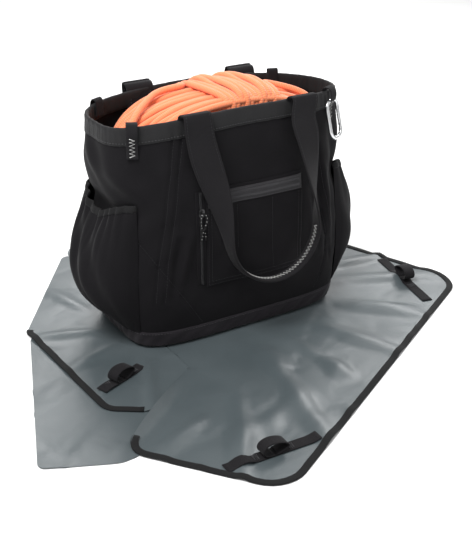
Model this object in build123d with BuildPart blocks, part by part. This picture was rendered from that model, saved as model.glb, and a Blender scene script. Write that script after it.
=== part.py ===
"""Rope tote on its ground tarp: an open fabric bag with two carry handles, end pockets, a zipped
front pocket and a carabiner, holding a wrapped hank of rope. Millimetres, +Z up, origin on the
floor under the middle of the bag. The bag's front faces -Y."""

from build123d import *
import math
import os

# ---- driving dimensions -------------------------------------------------------------------
TARP_LAYER = 3.0  # one layer of the tarp with its loose folds
BODY_GAP = 0.3  # air between pieces that move apart
BAG_FLOOR = 2 * TARP_LAYER + BODY_GAP  # underside of the bag, standing on two layers
BAG_HEIGHT = 380.0  # from the bag's underside to the middle of its rim
RIM_DROP = 16.0  # how much lower the rim is near its two ends
RIM_REACH = 240.0  # distance from the middle where it is that much lower
BOOT_HEIGHT = 30.0
HEM_HEIGHT = 26.0
FABRIC = 2.5
HEM_PROUD = 1.2  # the hem and the boot stand this far outside the fabric
HEM_INSIDE = 3.0

# Height above the bag's underside, half width, half depth, and how square the left and the
# right end are: 2 is an ellipse, 5 is nearly a rectangle.
SECTIONS = [
    (0.0, 194.0, 100.0, 5.0, 5.0),
    (BOOT_HEIGHT, 202.0, 106.0, 4.6, 4.6),
    (130.0, 208.0, 109.0, 4.0, 4.0),
    (250.0, 208.0, 101.0, 3.6, 3.2),
    (410.0, 226.0, 82.0, 3.2, 2.1),
]
SECTION_POINTS = 24
SEAM_X = 150.0  # where the front and back panels meet the end panels

STRAP_THICK = 2.5
STRAP_WIDTH = 48.0
GRIP_WIDTH = 24.0  # the strap folded in half
GRIP_THICK = 5.0
HANDLE_X = 98.0  # middle of each sewn strap end, either side of the bag's centre line
HANDLE_STAND = 9.0  # the handles' pivot lines lie this far outside the rim
HANDLE_RISE = 8.0  # and this far above it
HANDLE_LEAN = 8.0  # degrees that a hanging handle leans out over the bag's fuller middle

POCKET_LEFT = -84.0
POCKET_RIGHT = 100.0
POCKET_LOW = 104.0
POCKET_HIGH = 268.0
WEBBING_WIDTH = 24.0
ZIP_X = -93.0
ZIP_LOW = 112.0
ZIP_HIGH = 268.0
ZIP_TAPE = 16.0
ZIP_PROUD = 2.0  # the tape lies this far outside the front
SLIDER_DOWN = 34.0  # the slider's place below the zip's top end
COIL_WIDTH = 4.6
COIL_THICK = 1.6

POUCH_TOP = 246.0
POUCH_SEAM_X = 190.0
POUCH_WALL = 1.6
# Height above the bag's underside and how far a pouch stands out at the end of the bag.
POUCH_BULGE = [(BOOT_HEIGHT + 2.0, 1.8), (72.0, 38.0), (120.0, 48.0), (180.0, 37.0), (POUCH_TOP, 13.0)]

LOOP_WIDTH = 18.0
LOOP_THICK = 1.5
LOOP_RISE = 8.0  # a rim loop's top above the rim
LOOP_BULGE = 12.0  # how far a front loop stands off the hem
LOOP_SPOTS = {
    "front_left": (-190.0, True), "front_right": (172.0, True),
    "back_left": (-184.0, False), "back_right": (150.0, False),
}

CLIP_HALF_WIDTH = 16.0  # carabiner, to the middle of its bar
CLIP_HALF_HEIGHT = 31.0
CLIP_BAR = 3.1  # radius of its bar
CLIP_BEND = 12.0
CLIP_LEAN = 14.0  # degrees that it leans out as it hangs against the fuller wall below
CLIP_OUT = 6.6  # its top bar's middle, outside the hem
CLIP_DOWN = 13.0  # and below the rim
GATE_RADIUS = 2.9
GATE_PIVOT = -12.0
PIN_RADIUS = 1.0

ROPE_TOP = 412.0
ROPE_FOOT = 14.0
ROPE_HALF_LENGTH = 199.0
ROPE_HALF_DEPTH = 67.0
ROPE_THICK = 86.0

# The folded tarp's outlines on the floor: the upper panel with the front and right corners, the
# layer folded back on the left, and the layer under both.
UPPER = [(-336, -310), (-186, -500), (436, -150), (236, 360), (-150, 330), (-150, -165)]
SIDE = [(-330, 66), (-316, -206), (-256, -246), (-151, -165), (-151, 305), (-166, 300)]
LOWER = [(-455, -286), (-348, -332), (-100, -290), (150, -60), (150, 300), (-160, 292), (-334, 40)]
CORNER_RADIUS = 42.0
BINDING_WIDTH = 11.0
BINDING_THICK = 1.2
CORNER_STRAP = 20.0
STRAP_ENDS = {
    "right": ((366, -10), (330, -184)),
    "front": ((-82, -420), (-236, -416)),
    "left": ((-214, -124), (-300, -160)),
}
TARP_LOOP_RADIUS = 13.0


def write(piece, name):
    """Labels a finished piece and writes it as parts/NAME.step."""
    piece.label = name
    export_step(piece, f"parts/{name}.step")


def between(rows, z):
    """The values of a table's rows at height z, on straight lines between the rows."""
    for low, high in zip(rows, rows[1:]):
        if z <= high[0]:
            break
    share = (z - low[0]) / (high[0] - low[0])
    return [a + share * (b - a) for a, b in zip(low[1:], high[1:])]


def section(height, grow_x, grow_y):
    """One cross-section of the bag as a face, grown along its width and its depth."""
    half_x, half_y, square_left, square_right = between(SECTIONS, height)
    half_x, half_y = half_x + grow_x, half_y + grow_y
    points = []
    for i in range(SECTION_POINTS):
        turn = 2 * math.pi * (i + 0.5) / SECTION_POINTS
        c, s = math.cos(turn), math.sin(turn)
        square = square_right if c > 0 else square_left
        reach = (abs(c) ** square + abs(s) ** square) ** (-1 / square)
        points.append((half_x * reach * c, half_y * reach * s))
    with BuildSketch(Plane.XY.offset(BAG_FLOOR + height)) as outline:
        with BuildLine():
            Spline(*points, periodic=True)
        make_face()
    return outline.sketch


def bag_solid(grow):
    """The bag's outer shape as one solid, grown sideways."""
    with BuildPart() as solid:
        loft(sections=[section(row[0], grow, grow) for row in SECTIONS], ruled=True)
    return solid.part


def pouch_solid(grow):
    """The outer shape of both end pockets as one solid, grown sideways."""
    with BuildPart() as solid:
        loft(sections=[section(height, out + grow, 2.0 + grow) for height, out in POUCH_BULGE], ruled=True)
    return solid.part


def below_rim(down):
    """Everything under a curve that runs a distance down from the bag's rim."""
    middle = BAG_FLOOR + BAG_HEIGHT - down
    with BuildPart() as under:
        with BuildSketch(Plane.XZ):
            with BuildLine():
                arc = ThreePointArc(
                    (-RIM_REACH, middle - RIM_DROP), (0, middle), (RIM_REACH, middle - RIM_DROP)
                )
                Polyline(arc @ 1, (RIM_REACH, -50), (-RIM_REACH, -50), arc @ 0)
            make_face()
        extrude(amount=200, both=True)
    return under.part


def block(low, high):
    """A plain block between two corners, for cutting the layers to size."""
    middle = tuple((a + b) / 2 for a, b in zip(low, high))
    with BuildPart() as cut:
        with Locations(middle):
            Box(*[b - a for a, b in zip(low, high)])
    return cut.part


def depth_at(z):
    """Half depth of the bag's outside at a height above the floor."""
    return between(SECTIONS, z - BAG_FLOOR)[1]


def rim_height(x):
    """Height of the rim above the floor at a distance from the bag's middle."""
    radius = (RIM_REACH**2 + RIM_DROP**2) / (2 * RIM_DROP)
    return BAG_FLOOR + BAG_HEIGHT - (radius - math.sqrt(radius**2 - x**2))


def wall_y(x, z, grow=0.0):
    """Half depth of the bag at a place along it and a height above the floor."""
    half_x, half_y, left, right = between(SECTIONS, z - BAG_FLOOR)
    square = right if x > 0 else left
    return (half_y + grow) * (1 - (abs(x) / (half_x + grow)) ** square) ** (1 / square)


def rim_plane(x, front):
    """A plane on the outside of the hem at the rim: local X along the rim, Y up, Z outwards."""
    half_x, half_y, left, right = between(SECTIONS, rim_height(x) - BAG_FLOOR)
    square = right if x > 0 else left
    half_x, half_y = half_x + HEM_PROUD, half_y + HEM_PROUD
    y = wall_y(x, rim_height(x), HEM_PROUD)
    side = -1 if front else 1
    slope_x = math.copysign((abs(x) / half_x) ** (square - 1) / half_x, x)
    slope_y = side * (y / half_y) ** (square - 1) / half_y
    outward = Vector(slope_x, slope_y, 0).normalized()
    return Plane(
        origin=(x, side * y, rim_height(x)), x_dir=Vector(0, 0, 1).cross(outward), z_dir=outward
    )


# ---- the bag's sewn shell ------------------------------------------------------------------
def shell_panels(outer):
    wall = (outer - bag_solid(-FABRIC)) & below_rim(HEM_HEIGHT)
    low = BAG_FLOOR + BOOT_HEIGHT
    write(wall & block((-SEAM_X, -200, low), (SEAM_X, 0, 500)), "front_panel")
    write(wall & block((-SEAM_X, 0, low), (SEAM_X, 200, 500)), "back_panel")
    write(wall & block((-300, -200, low), (-SEAM_X, 200, 500)), "left_end_panel")
    write(wall & block((SEAM_X, -200, low), (300, 200, 500)), "right_end_panel")


def hem_and_boot():
    layer = bag_solid(HEM_PROUD) - bag_solid(-HEM_INSIDE)
    write((layer & below_rim(0)) - below_rim(HEM_HEIGHT), "top_hem")
    sides = layer & block((-300, -200, 0), (300, 200, BAG_FLOOR + BOOT_HEIGHT))
    floor = bag_solid(-HEM_INSIDE + 0.1) & block((-300, -200, 0), (300, 200, BAG_FLOOR + 3.0))
    write(sides + floor, "base_boot")


def front_pocket(outer):
    layer = bag_solid(1.5) - outer
    panel = layer & block((POCKET_LEFT, -200, POCKET_LOW), (POCKET_RIGHT, 0, POCKET_HIGH))
    write(panel, "front_pocket_panel")
    high = POCKET_HIGH - 5
    strip = (bag_solid(3.0) - bag_solid(1.6)) & block(
        (POCKET_LEFT + 4, -200, high - WEBBING_WIDTH), (POCKET_RIGHT - 4, 0, high)
    )
    write(strip, "pocket_webbing")


def zip_plane():
    """The plane of the zip's tape, just off the fabric: local X down the zip, Z outwards."""
    start = Vector(ZIP_X, -depth_at(ZIP_HIGH) - ZIP_PROUD, ZIP_HIGH)
    end = Vector(ZIP_X, -depth_at(ZIP_LOW) - ZIP_PROUD, ZIP_LOW)
    run = end - start
    return Plane(origin=start, x_dir=run, z_dir=run.cross(Vector(1, 0, 0))), run.length


def zipper():
    """Tape, coil, slider and pull of the front pocket's zip."""
    face, length = zip_plane()
    tape_thick = 0.8
    with BuildPart() as tape:
        with BuildSketch(face):
            with Locations((length / 2, 0)):
                Rectangle(length, ZIP_TAPE)
        extrude(amount=tape_thick)
    write(tape.part, "zip_tape")
    with BuildPart() as coil:
        with BuildSketch(face.offset(tape_thick)):
            with Locations((length / 2, 0)):
                Rectangle(length - 6, COIL_WIDTH)
        extrude(amount=COIL_THICK)
    write(coil.part, "zip_coil")

    top = face.offset(tape_thick + COIL_THICK + BODY_GAP)
    cheek = 1.6
    bail_gap = 2.6
    with BuildPart() as slider:
        with BuildSketch(top):
            with Locations((SLIDER_DOWN, 0)):
                SlotOverall(14, 10)
        extrude(amount=1.4)
        with BuildSketch(face.offset(tape_thick + BODY_GAP)):
            for side in (-1, 1):
                with Locations((SLIDER_DOWN, side * (COIL_WIDTH / 2 + BODY_GAP + cheek / 2))):
                    Rectangle(9, cheek)
        extrude(amount=COIL_THICK + 0.1)
        with BuildSketch(top.offset(1.3)):
            for along in (-3.5, 3.5):
                with Locations((SLIDER_DOWN + along, 0)):
                    Rectangle(1.6, 2.4)
        extrude(amount=bail_gap + 0.1)
        with BuildSketch(top.offset(1.4 + bail_gap)):
            with Locations((SLIDER_DOWN, 0)):
                Rectangle(8.6, 2.4)
        extrude(amount=1.2)
    write(slider.part, "zip_slider")

    pull_thick = 1.4
    middle = top.offset(1.4 + (bail_gap - pull_thick) / 2)
    with BuildPart() as pull:
        with BuildSketch(middle):
            with Locations((SLIDER_DOWN + 4.4, 0)):
                SlotOverall(13, 7.4)
            with Locations((SLIDER_DOWN + 4.2, 0)):
                SlotOverall(9.8, 4.2, mode=Mode.SUBTRACT)
            with Locations((SLIDER_DOWN + 16.5, 0)):
                Rectangle(13, 2.6)
            with Locations((SLIDER_DOWN + 30, 0)):
                RectangleRounded(18, 6, 2)
        extrude(amount=pull_thick)
    write(pull.part, "zip_pull")


def end_pockets():
    wall = (pouch_solid(0) - pouch_solid(-POUCH_WALL)) - bag_solid(0.1)
    trim = pouch_solid(1.3) - pouch_solid(0.1)
    top = BAG_FLOOR + POUCH_TOP
    for hand, low_x, high_x in (("left", -300, -POUCH_SEAM_X), ("right", POUCH_SEAM_X, 300)):
        write(wall & block((low_x, -200, 0), (high_x, 200, 500)), f"{hand}_pocket")
        band = trim & block((low_x, -200, top - 14), (high_x, 200, top))
        write(band, f"{hand}_pocket_elastic")


# ---- loops on the rim ----------------------------------------------------------------------
def rim_loop(name, x, front):
    """A webbing loop over the rim, sewn inside; the front ones stand off the hem as well."""
    rim = rim_plane(x, front)
    side_view = Plane(origin=rim.origin, x_dir=rim.z_dir, z_dir=rim.z_dir.cross(Vector(0, 0, 1)))
    hem_thick = (HEM_PROUD + HEM_INSIDE) * (abs(rim.z_dir.X) + abs(rim.z_dir.Y))
    inside = -hem_thick - LOOP_THICK / 2 - 1.2
    outside = LOOP_THICK / 2 + 0.3
    top = LOOP_RISE - LOOP_THICK / 2
    tail = 46 if front else 22

    def lying(down):
        """How far out the webbing's middle lies on the wall, a distance below the rim."""
        lower = wall_y(x, rim_height(x) - down, HEM_PROUD) - wall_y(x, rim_height(x), HEM_PROUD)
        return outside + lower * abs(rim.z_dir.Y)

    points = [(inside, -14), (inside, top)]
    if front:
        bulge = outside + LOOP_BULGE
        points += [(bulge - 3, top), (bulge, -24), (lying(38) + 0.6, -38), (lying(tail) + 0.6, -tail)]
        radii = [2.6, 7.0, 5.0, 3.0]
    else:
        points += [(outside, top), (lying(tail) + 0.6, -tail)]
        radii = [2.6, 2.6]
    with BuildPart() as loop:
        with BuildSketch(side_view):
            with BuildLine():
                FilletPolyline(*points, radius=radii)
            trace(line_width=LOOP_THICK)
        extrude(amount=LOOP_WIDTH / 2, both=True)
    write(loop.part, f"{name}_rim_loop")


# ---- carry handles -------------------------------------------------------------------------
# Down from the pivot line, left leg's and right leg's place along the bag, width, thickness and
# degrees of twist of each cross-section of a strap.
STRAP_STATIONS = [
    (9.0, -98.0, 98.0, STRAP_WIDTH, STRAP_THICK, 0.0),
    (70.0, -88.0, 101.0, STRAP_WIDTH, STRAP_THICK, 10.0),
    (140.0, -72.0, 105.0, 38.0, 3.4, 40.0),
    (195.0, -62.0, 109.0, GRIP_WIDTH + 4, 4.4, 74.0),
    (226.0, -56.0, 108.0, GRIP_WIDTH, GRIP_THICK, 90.0),
]
GRIP_LOW = (32.0, 288.0)  # the lowest point of the grip: along the bag, and down


def handle_plane(front):
    """Plane of a hanging handle: local X along the bag and local Y down it from its pivot line."""
    side = -1 if front else 1
    lean = math.radians(HANDLE_LEAN)
    down = Vector(0, side * math.sin(lean), -math.cos(lean))
    level = rim_height(HANDLE_X)
    origin = Vector(0, side * (depth_at(level) + HANDLE_STAND), level + HANDLE_RISE)
    return Plane(origin=origin, x_dir=Vector(1, 0, 0), z_dir=Vector(1, 0, 0).cross(down))


def handle(name, front):
    """A strap whose two legs turn edge-on as they come down to a grip, folded in half."""
    hang = handle_plane(front)
    down = hang.y_dir
    out = hang.z_dir * (1 if front == (hang.z_dir.Y < 0) else -1)
    stand = 1.0 + STRAP_THICK
    legs = []
    for hand in (-1, 1):
        faces = []
        for row in STRAP_STATIONS:
            width, thick, twist = row[3:]
            turn = math.radians(twist) * hand
            across = Vector(1, 0, 0) * math.cos(turn) + out * math.sin(turn)
            lift = stand + (width / 2 - 6) * abs(math.sin(turn))
            place = hang.origin + Vector(row[1 if hand < 0 else 2], 0, 0) + down * row[0] + out * lift
            with BuildSketch(Plane(origin=place, x_dir=across, z_dir=down)) as cut:
                Rectangle(width, thick)
            faces.append(cut.sketch)
        with BuildPart() as leg:
            loft(sections=faces, ruled=True)
        legs.append(leg.part)
    start = STRAP_STATIONS[-1]
    level = Plane(origin=hang.origin + out * (stand + GRIP_WIDTH / 2 - 6), x_dir=(1, 0, 0), z_dir=hang.z_dir)
    with BuildPart() as grip:
        with BuildLine(level) as route:
            ThreePointArc((start[1], start[0]), GRIP_LOW, (start[2], start[0]))
        with BuildSketch(Plane(origin=route.line @ 0, x_dir=out, z_dir=route.line % 0)):
            Rectangle(GRIP_WIDTH, GRIP_THICK)
        sweep()
    write(legs[0] + legs[1] + grip.part, f"{name}_handle")


def handle_ends(name, front):
    """The handle's two sewn ends, on the inside of the hem and up to the pivot line."""
    side = -1 if front else 1
    pivot = handle_plane(front).origin
    outer_edge = HANDLE_X + STRAP_WIDTH / 2
    start = side * (wall_y(outer_edge, rim_height(outer_edge)) - HEM_INSIDE - STRAP_THICK / 2 - 1.0)
    low = rim_height(HANDLE_X) - HEM_HEIGHT - 16
    with BuildPart() as ends:
        with BuildSketch(Plane.YZ.offset(HANDLE_X - STRAP_WIDTH / 2)):
            with BuildLine():
                FilletPolyline((start, low), (start, pivot.Z), (pivot.Y, pivot.Z), radius=4.0)
            trace(line_width=STRAP_THICK)
        extrude(amount=STRAP_WIDTH)
        mirror(about=Plane.YZ)
    write(ends.part, f"{name}_handle_ends")


# ---- carabiner -----------------------------------------------------------------------------
def carabiner_plane():
    """The hanging carabiner's plane: local X along the rim, Y up, Z away from the bag."""
    rim = rim_plane(LOOP_SPOTS["front_right"][0], True)
    lean = math.radians(CLIP_LEAN)
    up = Vector(0, 0, 1) * math.cos(lean) - rim.z_dir * math.sin(lean)
    top_bar = rim.origin + rim.z_dir * CLIP_OUT - Vector(0, 0, CLIP_DOWN)
    return Plane(origin=top_bar - up * CLIP_HALF_HEIGHT, x_dir=rim.x_dir, z_dir=rim.x_dir.cross(up))


def carabiner():
    flat = carabiner_plane()
    side = CLIP_HALF_WIDTH
    nose, heel = 12.5, -16.5
    tang = 2.0
    with BuildPart() as frame:
        with BuildLine(flat) as route:
            FilletPolyline(
                (side, nose), (side, CLIP_HALF_HEIGHT), (-side, CLIP_HALF_HEIGHT),
                (-side, -CLIP_HALF_HEIGHT), (side, -CLIP_HALF_HEIGHT), (side, heel), radius=CLIP_BEND,
            )
        with BuildSketch(Plane(origin=route.line @ 0, z_dir=route.line % 0)):
            Circle(CLIP_BAR)
        sweep()
        with BuildSketch(flat.offset(-tang / 2)):
            with Locations((side, (heel + GATE_PIVOT) / 2)):
                Rectangle(4.6, GATE_PIVOT - heel + 0.1)
            with Locations((side, GATE_PIVOT)):
                Circle(2.3)
            with Locations((side, nose - 1.9)):
                Rectangle(4.0, 4.2)
        extrude(amount=tang)
        with BuildSketch(flat.offset(-tang)):
            with Locations((side, GATE_PIVOT)):
                Circle(PIN_RADIUS + 0.05)
            with Locations((side - 1.2, nose - 2.2)):
                Rectangle(4.6, 2 * PIN_RADIUS + 0.5)
        extrude(amount=2 * tang, mode=Mode.SUBTRACT)
    write(frame.part, "carabiner_frame")

    gate_low, gate_high = GATE_PIVOT - 2.6, nose - 0.5
    slot = tang + 0.6
    up_the_gate = Plane(origin=flat.from_local_coords(Vector(side, gate_low, 0)), z_dir=flat.y_dir)
    with BuildPart() as gate:
        with BuildSketch(up_the_gate):
            Circle(GATE_RADIUS)
        extrude(amount=gate_high - gate_low)
        with BuildSketch(flat.offset(-slot / 2)):
            with Locations((side, GATE_PIVOT)):
                Rectangle(8, 6.6)
            with Locations((side, nose - 1.9)):
                Rectangle(8, 5.6)
        extrude(amount=slot, mode=Mode.SUBTRACT)
        with BuildSketch(flat.offset(-GATE_RADIUS)):
            with Locations((side, GATE_PIVOT), (side, nose - 2.2)):
                Circle(PIN_RADIUS)
        extrude(amount=2 * GATE_RADIUS, mode=Mode.SUBTRACT)
        with BuildSketch(up_the_gate.offset(6.0)):
            Circle(1.5)
        extrude(amount=9.0, mode=Mode.SUBTRACT)
    write(gate.part, "carabiner_gate")
    for name, height, half in (("pivot", GATE_PIVOT, GATE_RADIUS), ("latch", nose - 2.2, GATE_RADIUS - 0.6)):
        with BuildPart() as pin:
            with BuildSketch(flat.offset(-half)):
                with Locations((side, height)):
                    Circle(PIN_RADIUS)
            extrude(amount=2 * half)
        write(pin.part, f"carabiner_{name}_pin")


# ---- rope ----------------------------------------------------------------------------------
def rope_hank():
    """The rope's wrapped hank, bent over like an arch with its two ends down in the bag."""
    inner = ROPE_HALF_LENGTH - ROPE_THICK
    shoulder, inner_shoulder = 292.0, 226.0
    with BuildPart() as hank:
        with BuildSketch(Plane.XZ):
            with BuildLine():
                over = ThreePointArc(
                    (-ROPE_HALF_LENGTH, shoulder), (0, ROPE_TOP), (ROPE_HALF_LENGTH, shoulder)
                )
                under = ThreePointArc(
                    (inner, inner_shoulder), (0, ROPE_TOP - ROPE_THICK), (-inner, inner_shoulder)
                )
                Polyline(over @ 1, (ROPE_HALF_LENGTH - 18, ROPE_FOOT), (inner - 8, ROPE_FOOT), under @ 0)
                Polyline(under @ 1, (8 - inner, ROPE_FOOT), (18 - ROPE_HALF_LENGTH, ROPE_FOOT), over @ 0)
            make_face()
        extrude(amount=100, both=True)
        with BuildSketch(Plane.XY):
            Ellipse(ROPE_HALF_LENGTH + 8, ROPE_HALF_DEPTH)
        extrude(amount=600, mode=Mode.INTERSECT)
    write(hank.part, "rope_hank")


# ---- tarp ----------------------------------------------------------------------------------
def tarp_layer(points, rounded, level, name):
    """One flat layer of the folded tarp, with the numbered corners rounded."""
    with BuildPart() as layer:
        with BuildSketch(Plane.XY.offset(level)) as outline:
            with BuildLine():
                Polyline(*points, close=True)
            make_face()
            corners = [
                vertex for vertex in outline.vertices()
                if any(math.hypot(vertex.X - points[i][0], vertex.Y - points[i][1]) < 0.1 for i in rounded)
            ]
            fillet(corners, CORNER_RADIUS)
        extrude(amount=TARP_LAYER)
    write(layer.part, name)


def tarp_binding(points, level, name):
    """A binding tape along the open edges that a chain of outline points gives."""
    with BuildPart() as tape:
        with BuildSketch(Plane.XY.offset(level)):
            with BuildLine():
                FilletPolyline(*points, radius=CORNER_RADIUS)
            trace(line_width=BINDING_WIDTH)
        extrude(amount=BINDING_THICK)
    write(tape.part, name)


def corner_strap(hand, ends, level):
    """A webbing strap across a corner of the tarp, with a loop standing up at its middle."""
    start, end = Vector(*ends[0], level), Vector(*ends[1], level)
    run = end - start
    middle = (start + end) * 0.5
    upright = Plane(origin=middle, x_dir=run, z_dir=run.cross(Vector(0, 0, 1)))
    with BuildPart() as strap:
        with BuildSketch(upright):
            with Locations((0, LOOP_THICK / 2)):
                Rectangle(run.length, LOOP_THICK)
        extrude(amount=CORNER_STRAP / 2, both=True)
        with BuildSketch(upright):
            with Locations((0, TARP_LOOP_RADIUS + 0.6)):
                Ellipse(TARP_LOOP_RADIUS * 1.5, TARP_LOOP_RADIUS)
                Ellipse(
                    TARP_LOOP_RADIUS * 1.5 - LOOP_THICK, TARP_LOOP_RADIUS - LOOP_THICK, mode=Mode.SUBTRACT
                )
        extrude(amount=CORNER_STRAP / 2, both=True)
    write(strap.part, f"tarp_{hand}_corner_strap")


def tarp():
    tarp_layer(LOWER, (), 0.0, "tarp_lower_fold")
    tarp_layer(UPPER, (1, 2, 3), TARP_LAYER, "tarp_main_panel")
    tarp_layer(SIDE, (1,), TARP_LAYER, "tarp_side_fold")
    top = 2 * TARP_LAYER
    tarp_binding(UPPER[0:5], top, "tarp_main_binding")
    tarp_binding(SIDE[0:3], top, "tarp_side_binding")
    for hand, ends in STRAP_ENDS.items():
        corner_strap(hand, ends, top + BINDING_THICK)


if __name__ == "__main__":
    os.makedirs("parts", exist_ok=True)
    outer_shape = bag_solid(0)
    shell_panels(outer_shape)
    hem_and_boot()
    front_pocket(outer_shape)
    zipper()
    end_pockets()
    for spot, (spot_x, in_front) in LOOP_SPOTS.items():
        rim_loop(spot, spot_x, in_front)
    for side_name, in_front in (("front", True), ("back", False)):
        handle(side_name, in_front)
        handle_ends(side_name, in_front)
    carabiner()
    rope_hank()
    tarp()
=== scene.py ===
"""Looks of the rope tote: sewn bag, handles, pockets, carabiner, rope hank and folded tarp. Metres."""
import math

import bmesh
import bpy
import numpy as np
from mathutils import Matrix, Vector
from mathutils.geometry import delaunay_2d_cdt


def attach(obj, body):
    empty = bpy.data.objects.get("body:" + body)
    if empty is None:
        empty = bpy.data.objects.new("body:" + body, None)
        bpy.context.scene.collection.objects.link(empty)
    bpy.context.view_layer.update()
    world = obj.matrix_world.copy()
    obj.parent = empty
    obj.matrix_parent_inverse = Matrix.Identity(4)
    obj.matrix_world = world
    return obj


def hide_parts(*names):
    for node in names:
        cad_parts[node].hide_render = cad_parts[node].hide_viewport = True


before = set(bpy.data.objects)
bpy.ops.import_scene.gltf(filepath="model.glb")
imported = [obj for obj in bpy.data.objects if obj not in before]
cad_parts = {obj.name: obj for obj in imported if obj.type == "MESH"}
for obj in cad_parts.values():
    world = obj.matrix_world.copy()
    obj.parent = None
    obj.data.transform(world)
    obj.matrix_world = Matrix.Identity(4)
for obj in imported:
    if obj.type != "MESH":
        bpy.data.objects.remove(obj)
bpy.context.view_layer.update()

# ---- sizes, as in the part's own source ------------------------------------------------------
BAG_FLOOR = 0.0063
BAG_HEIGHT = 0.380
RIM_DROP, RIM_REACH = 0.016, 0.240
BOOT_HEIGHT = 0.030
# Height above the bag's underside, half width, half depth, squareness of the left and right end.
SECTIONS = np.array([
    (0.000, 0.194, 0.100, 5.0, 5.0),
    (0.030, 0.202, 0.106, 4.6, 4.6),
    (0.130, 0.208, 0.109, 4.0, 4.0),
    (0.250, 0.208, 0.101, 3.6, 3.2),
    (0.410, 0.226, 0.082, 3.2, 2.1),
])
SECTION_FITS = [np.polyfit(SECTIONS[:, 0], SECTIONS[:, k], 4) for k in range(1, 5)]
STRAP_WIDTH, STRAP_THICK = 0.048, 0.0024
HANDLE_X = 0.098
ROPE_THICK = 0.0108
TARP_THICK = 0.0014
TAPE_WIDTH, TAPE_THICK = 0.0115, 0.0036
LOOP_WIDTH, LOOP_THICK = 0.0175, 0.0016
CORNER_WIDTH = 0.020
SHARP_ANGLE = 0.7  # edges that turn further than this are drawn sharp


# ---- mesh helpers ------------------------------------------------------------------------------
def piece(name, verts, faces, material, body, replaces=()):
    """A mesh object from points and faces, riding on a CAD body."""
    mesh = bpy.data.meshes.new(name)
    places = [tuple(map(float, v)) for v in verts]
    mesh.from_pydata(places, [], [tuple(map(int, f)) for f in faces])
    mesh.update()
    mesh.shade_smooth()
    mesh.materials.append(material)
    made = bpy.data.objects.new(name, mesh)
    bpy.context.collection.objects.link(made)
    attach(made, body)
    if replaces:
        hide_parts(*replaces)
    return made


def grid_faces(rows, cols, wrap_rows=False, wrap_cols=False):
    """Quads of a grid of points stored row by row."""
    faces = []
    for i in range(rows if wrap_rows else rows - 1):
        here, above = i * cols, (i + 1) % rows * cols
        for j in range(cols if wrap_cols else cols - 1):
            right = (j + 1) % cols
            faces.append((here + j, here + right, above + right, above + j))
    return faces


def capped_grid(rows, cols):
    """Faces of a tube made of rings of points, closed at both ends."""
    faces = grid_faces(rows, cols, wrap_cols=True)
    faces.append(tuple(range(cols))[::-1])
    faces.append(tuple((rows - 1) * cols + j for j in range(cols)))
    return faces


def units(vectors):
    """The same directions, each of length one."""
    return vectors / np.maximum(np.linalg.norm(vectors, axis=-1, keepdims=True), 1e-9)


def distance_along(path):
    """How far along a path each of its points lies."""
    return np.concatenate([[0], np.cumsum(np.linalg.norm(np.diff(path, axis=0), axis=1))])


def bake_modifiers(made):
    """Applies an object's modifiers to its mesh."""
    depsgraph = bpy.context.evaluated_depsgraph_get()
    depsgraph.update()
    mesh = bpy.data.meshes.new_from_object(made.evaluated_get(depsgraph))
    made.modifiers.clear()
    made.data = mesh


def thicken(made, thick):
    """Gives a cloth surface its thickness inwards, with closed edges."""
    solid = made.modifiers.new("thickness", "SOLIDIFY")
    solid.thickness = thick
    solid.offset = -1.0
    bake_modifiers(made)
    made.data.set_sharp_from_angle(angle=SHARP_ANGLE)


def outward(made):
    """Turns all faces of a closed mesh outwards."""
    work = bmesh.new()
    work.from_mesh(made.data)
    bmesh.ops.recalc_face_normals(work, faces=work.faces)
    work.to_mesh(made.data)
    work.free()


def curve_through(points, steps):
    """A smooth line through given points; extra columns are blended as well."""
    p = np.array(points, float)
    p = np.vstack([2 * p[0] - p[1], p, 2 * p[-1] - p[-2]])
    out = []
    for i in range(1, len(p) - 2):
        for t in np.linspace(0, 1, steps, endpoint=False):
            a, b, c, d = p[i - 1], p[i], p[i + 1], p[i + 2]
            out.append(0.5 * (2 * b + (c - a) * t + (2 * a - 5 * b + 4 * c - d) * t**2
                              + (3 * b - a - 3 * c + d) * t**3))
    out.append(p[-2])
    return np.array(out)


BAND_HALF = [(-0.5, -0.25), (-0.47, -0.5), (-0.3, -0.5), (0, -0.5), (0.3, -0.5), (0.47, -0.5),
             (0.5, -0.25)]
BAND_PROFILE = BAND_HALF + [(-u, -v) for u, v in BAND_HALF]


def band_frame(path, across):
    """A band's directions sideways and through its thickness, square to its path."""
    run = units(np.gradient(path, axis=0))
    across = units(across - (across * run).sum(1)[:, None] * run)
    return across, np.cross(run, across)


def sweep(path, across, width, thick, profile=BAND_PROFILE):
    """Points and faces of a band: a flat rounded section carried along a path.

    across gives the band's sideways direction at each point."""
    path = np.asarray(path, float)
    sideways, face = band_frame(path, np.asarray(across, float))
    verts = []
    for place, side, up in zip(path, sideways, face):
        verts += [place + side * u * width + up * v * thick for u, v in profile]
    return verts, capped_grid(len(path), len(profile))


def tube_points(path, radius, sides):
    """Points and faces of a round tube along a path, without twist."""
    path = np.asarray(path, float)
    run = units(np.gradient(path, axis=0))
    side = np.zeros_like(path)
    ref = np.cross(run[0], (0.31, 0.87, 0.38))
    side[0] = ref / np.linalg.norm(ref)
    for i in range(1, len(path)):
        ref = side[i - 1] - run[i] * np.dot(side[i - 1], run[i])
        side[i] = ref / np.linalg.norm(ref)
    other = np.cross(run, side)
    turns = np.linspace(0, 2 * math.pi, sides, endpoint=False)[None, :, None]
    ring = side[:, None, :] * np.cos(turns) + other[:, None, :] * np.sin(turns)
    verts = (path[:, None, :] + ring * radius).reshape(-1, 3)
    return verts, capped_grid(len(path), sides)


def tube(name, path, radius, sides, material, body, replaces=()):
    """A round cord or thread along a path."""
    verts, faces = tube_points(path, radius, sides)
    return piece(name, verts, faces, material, body, replaces)


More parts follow.
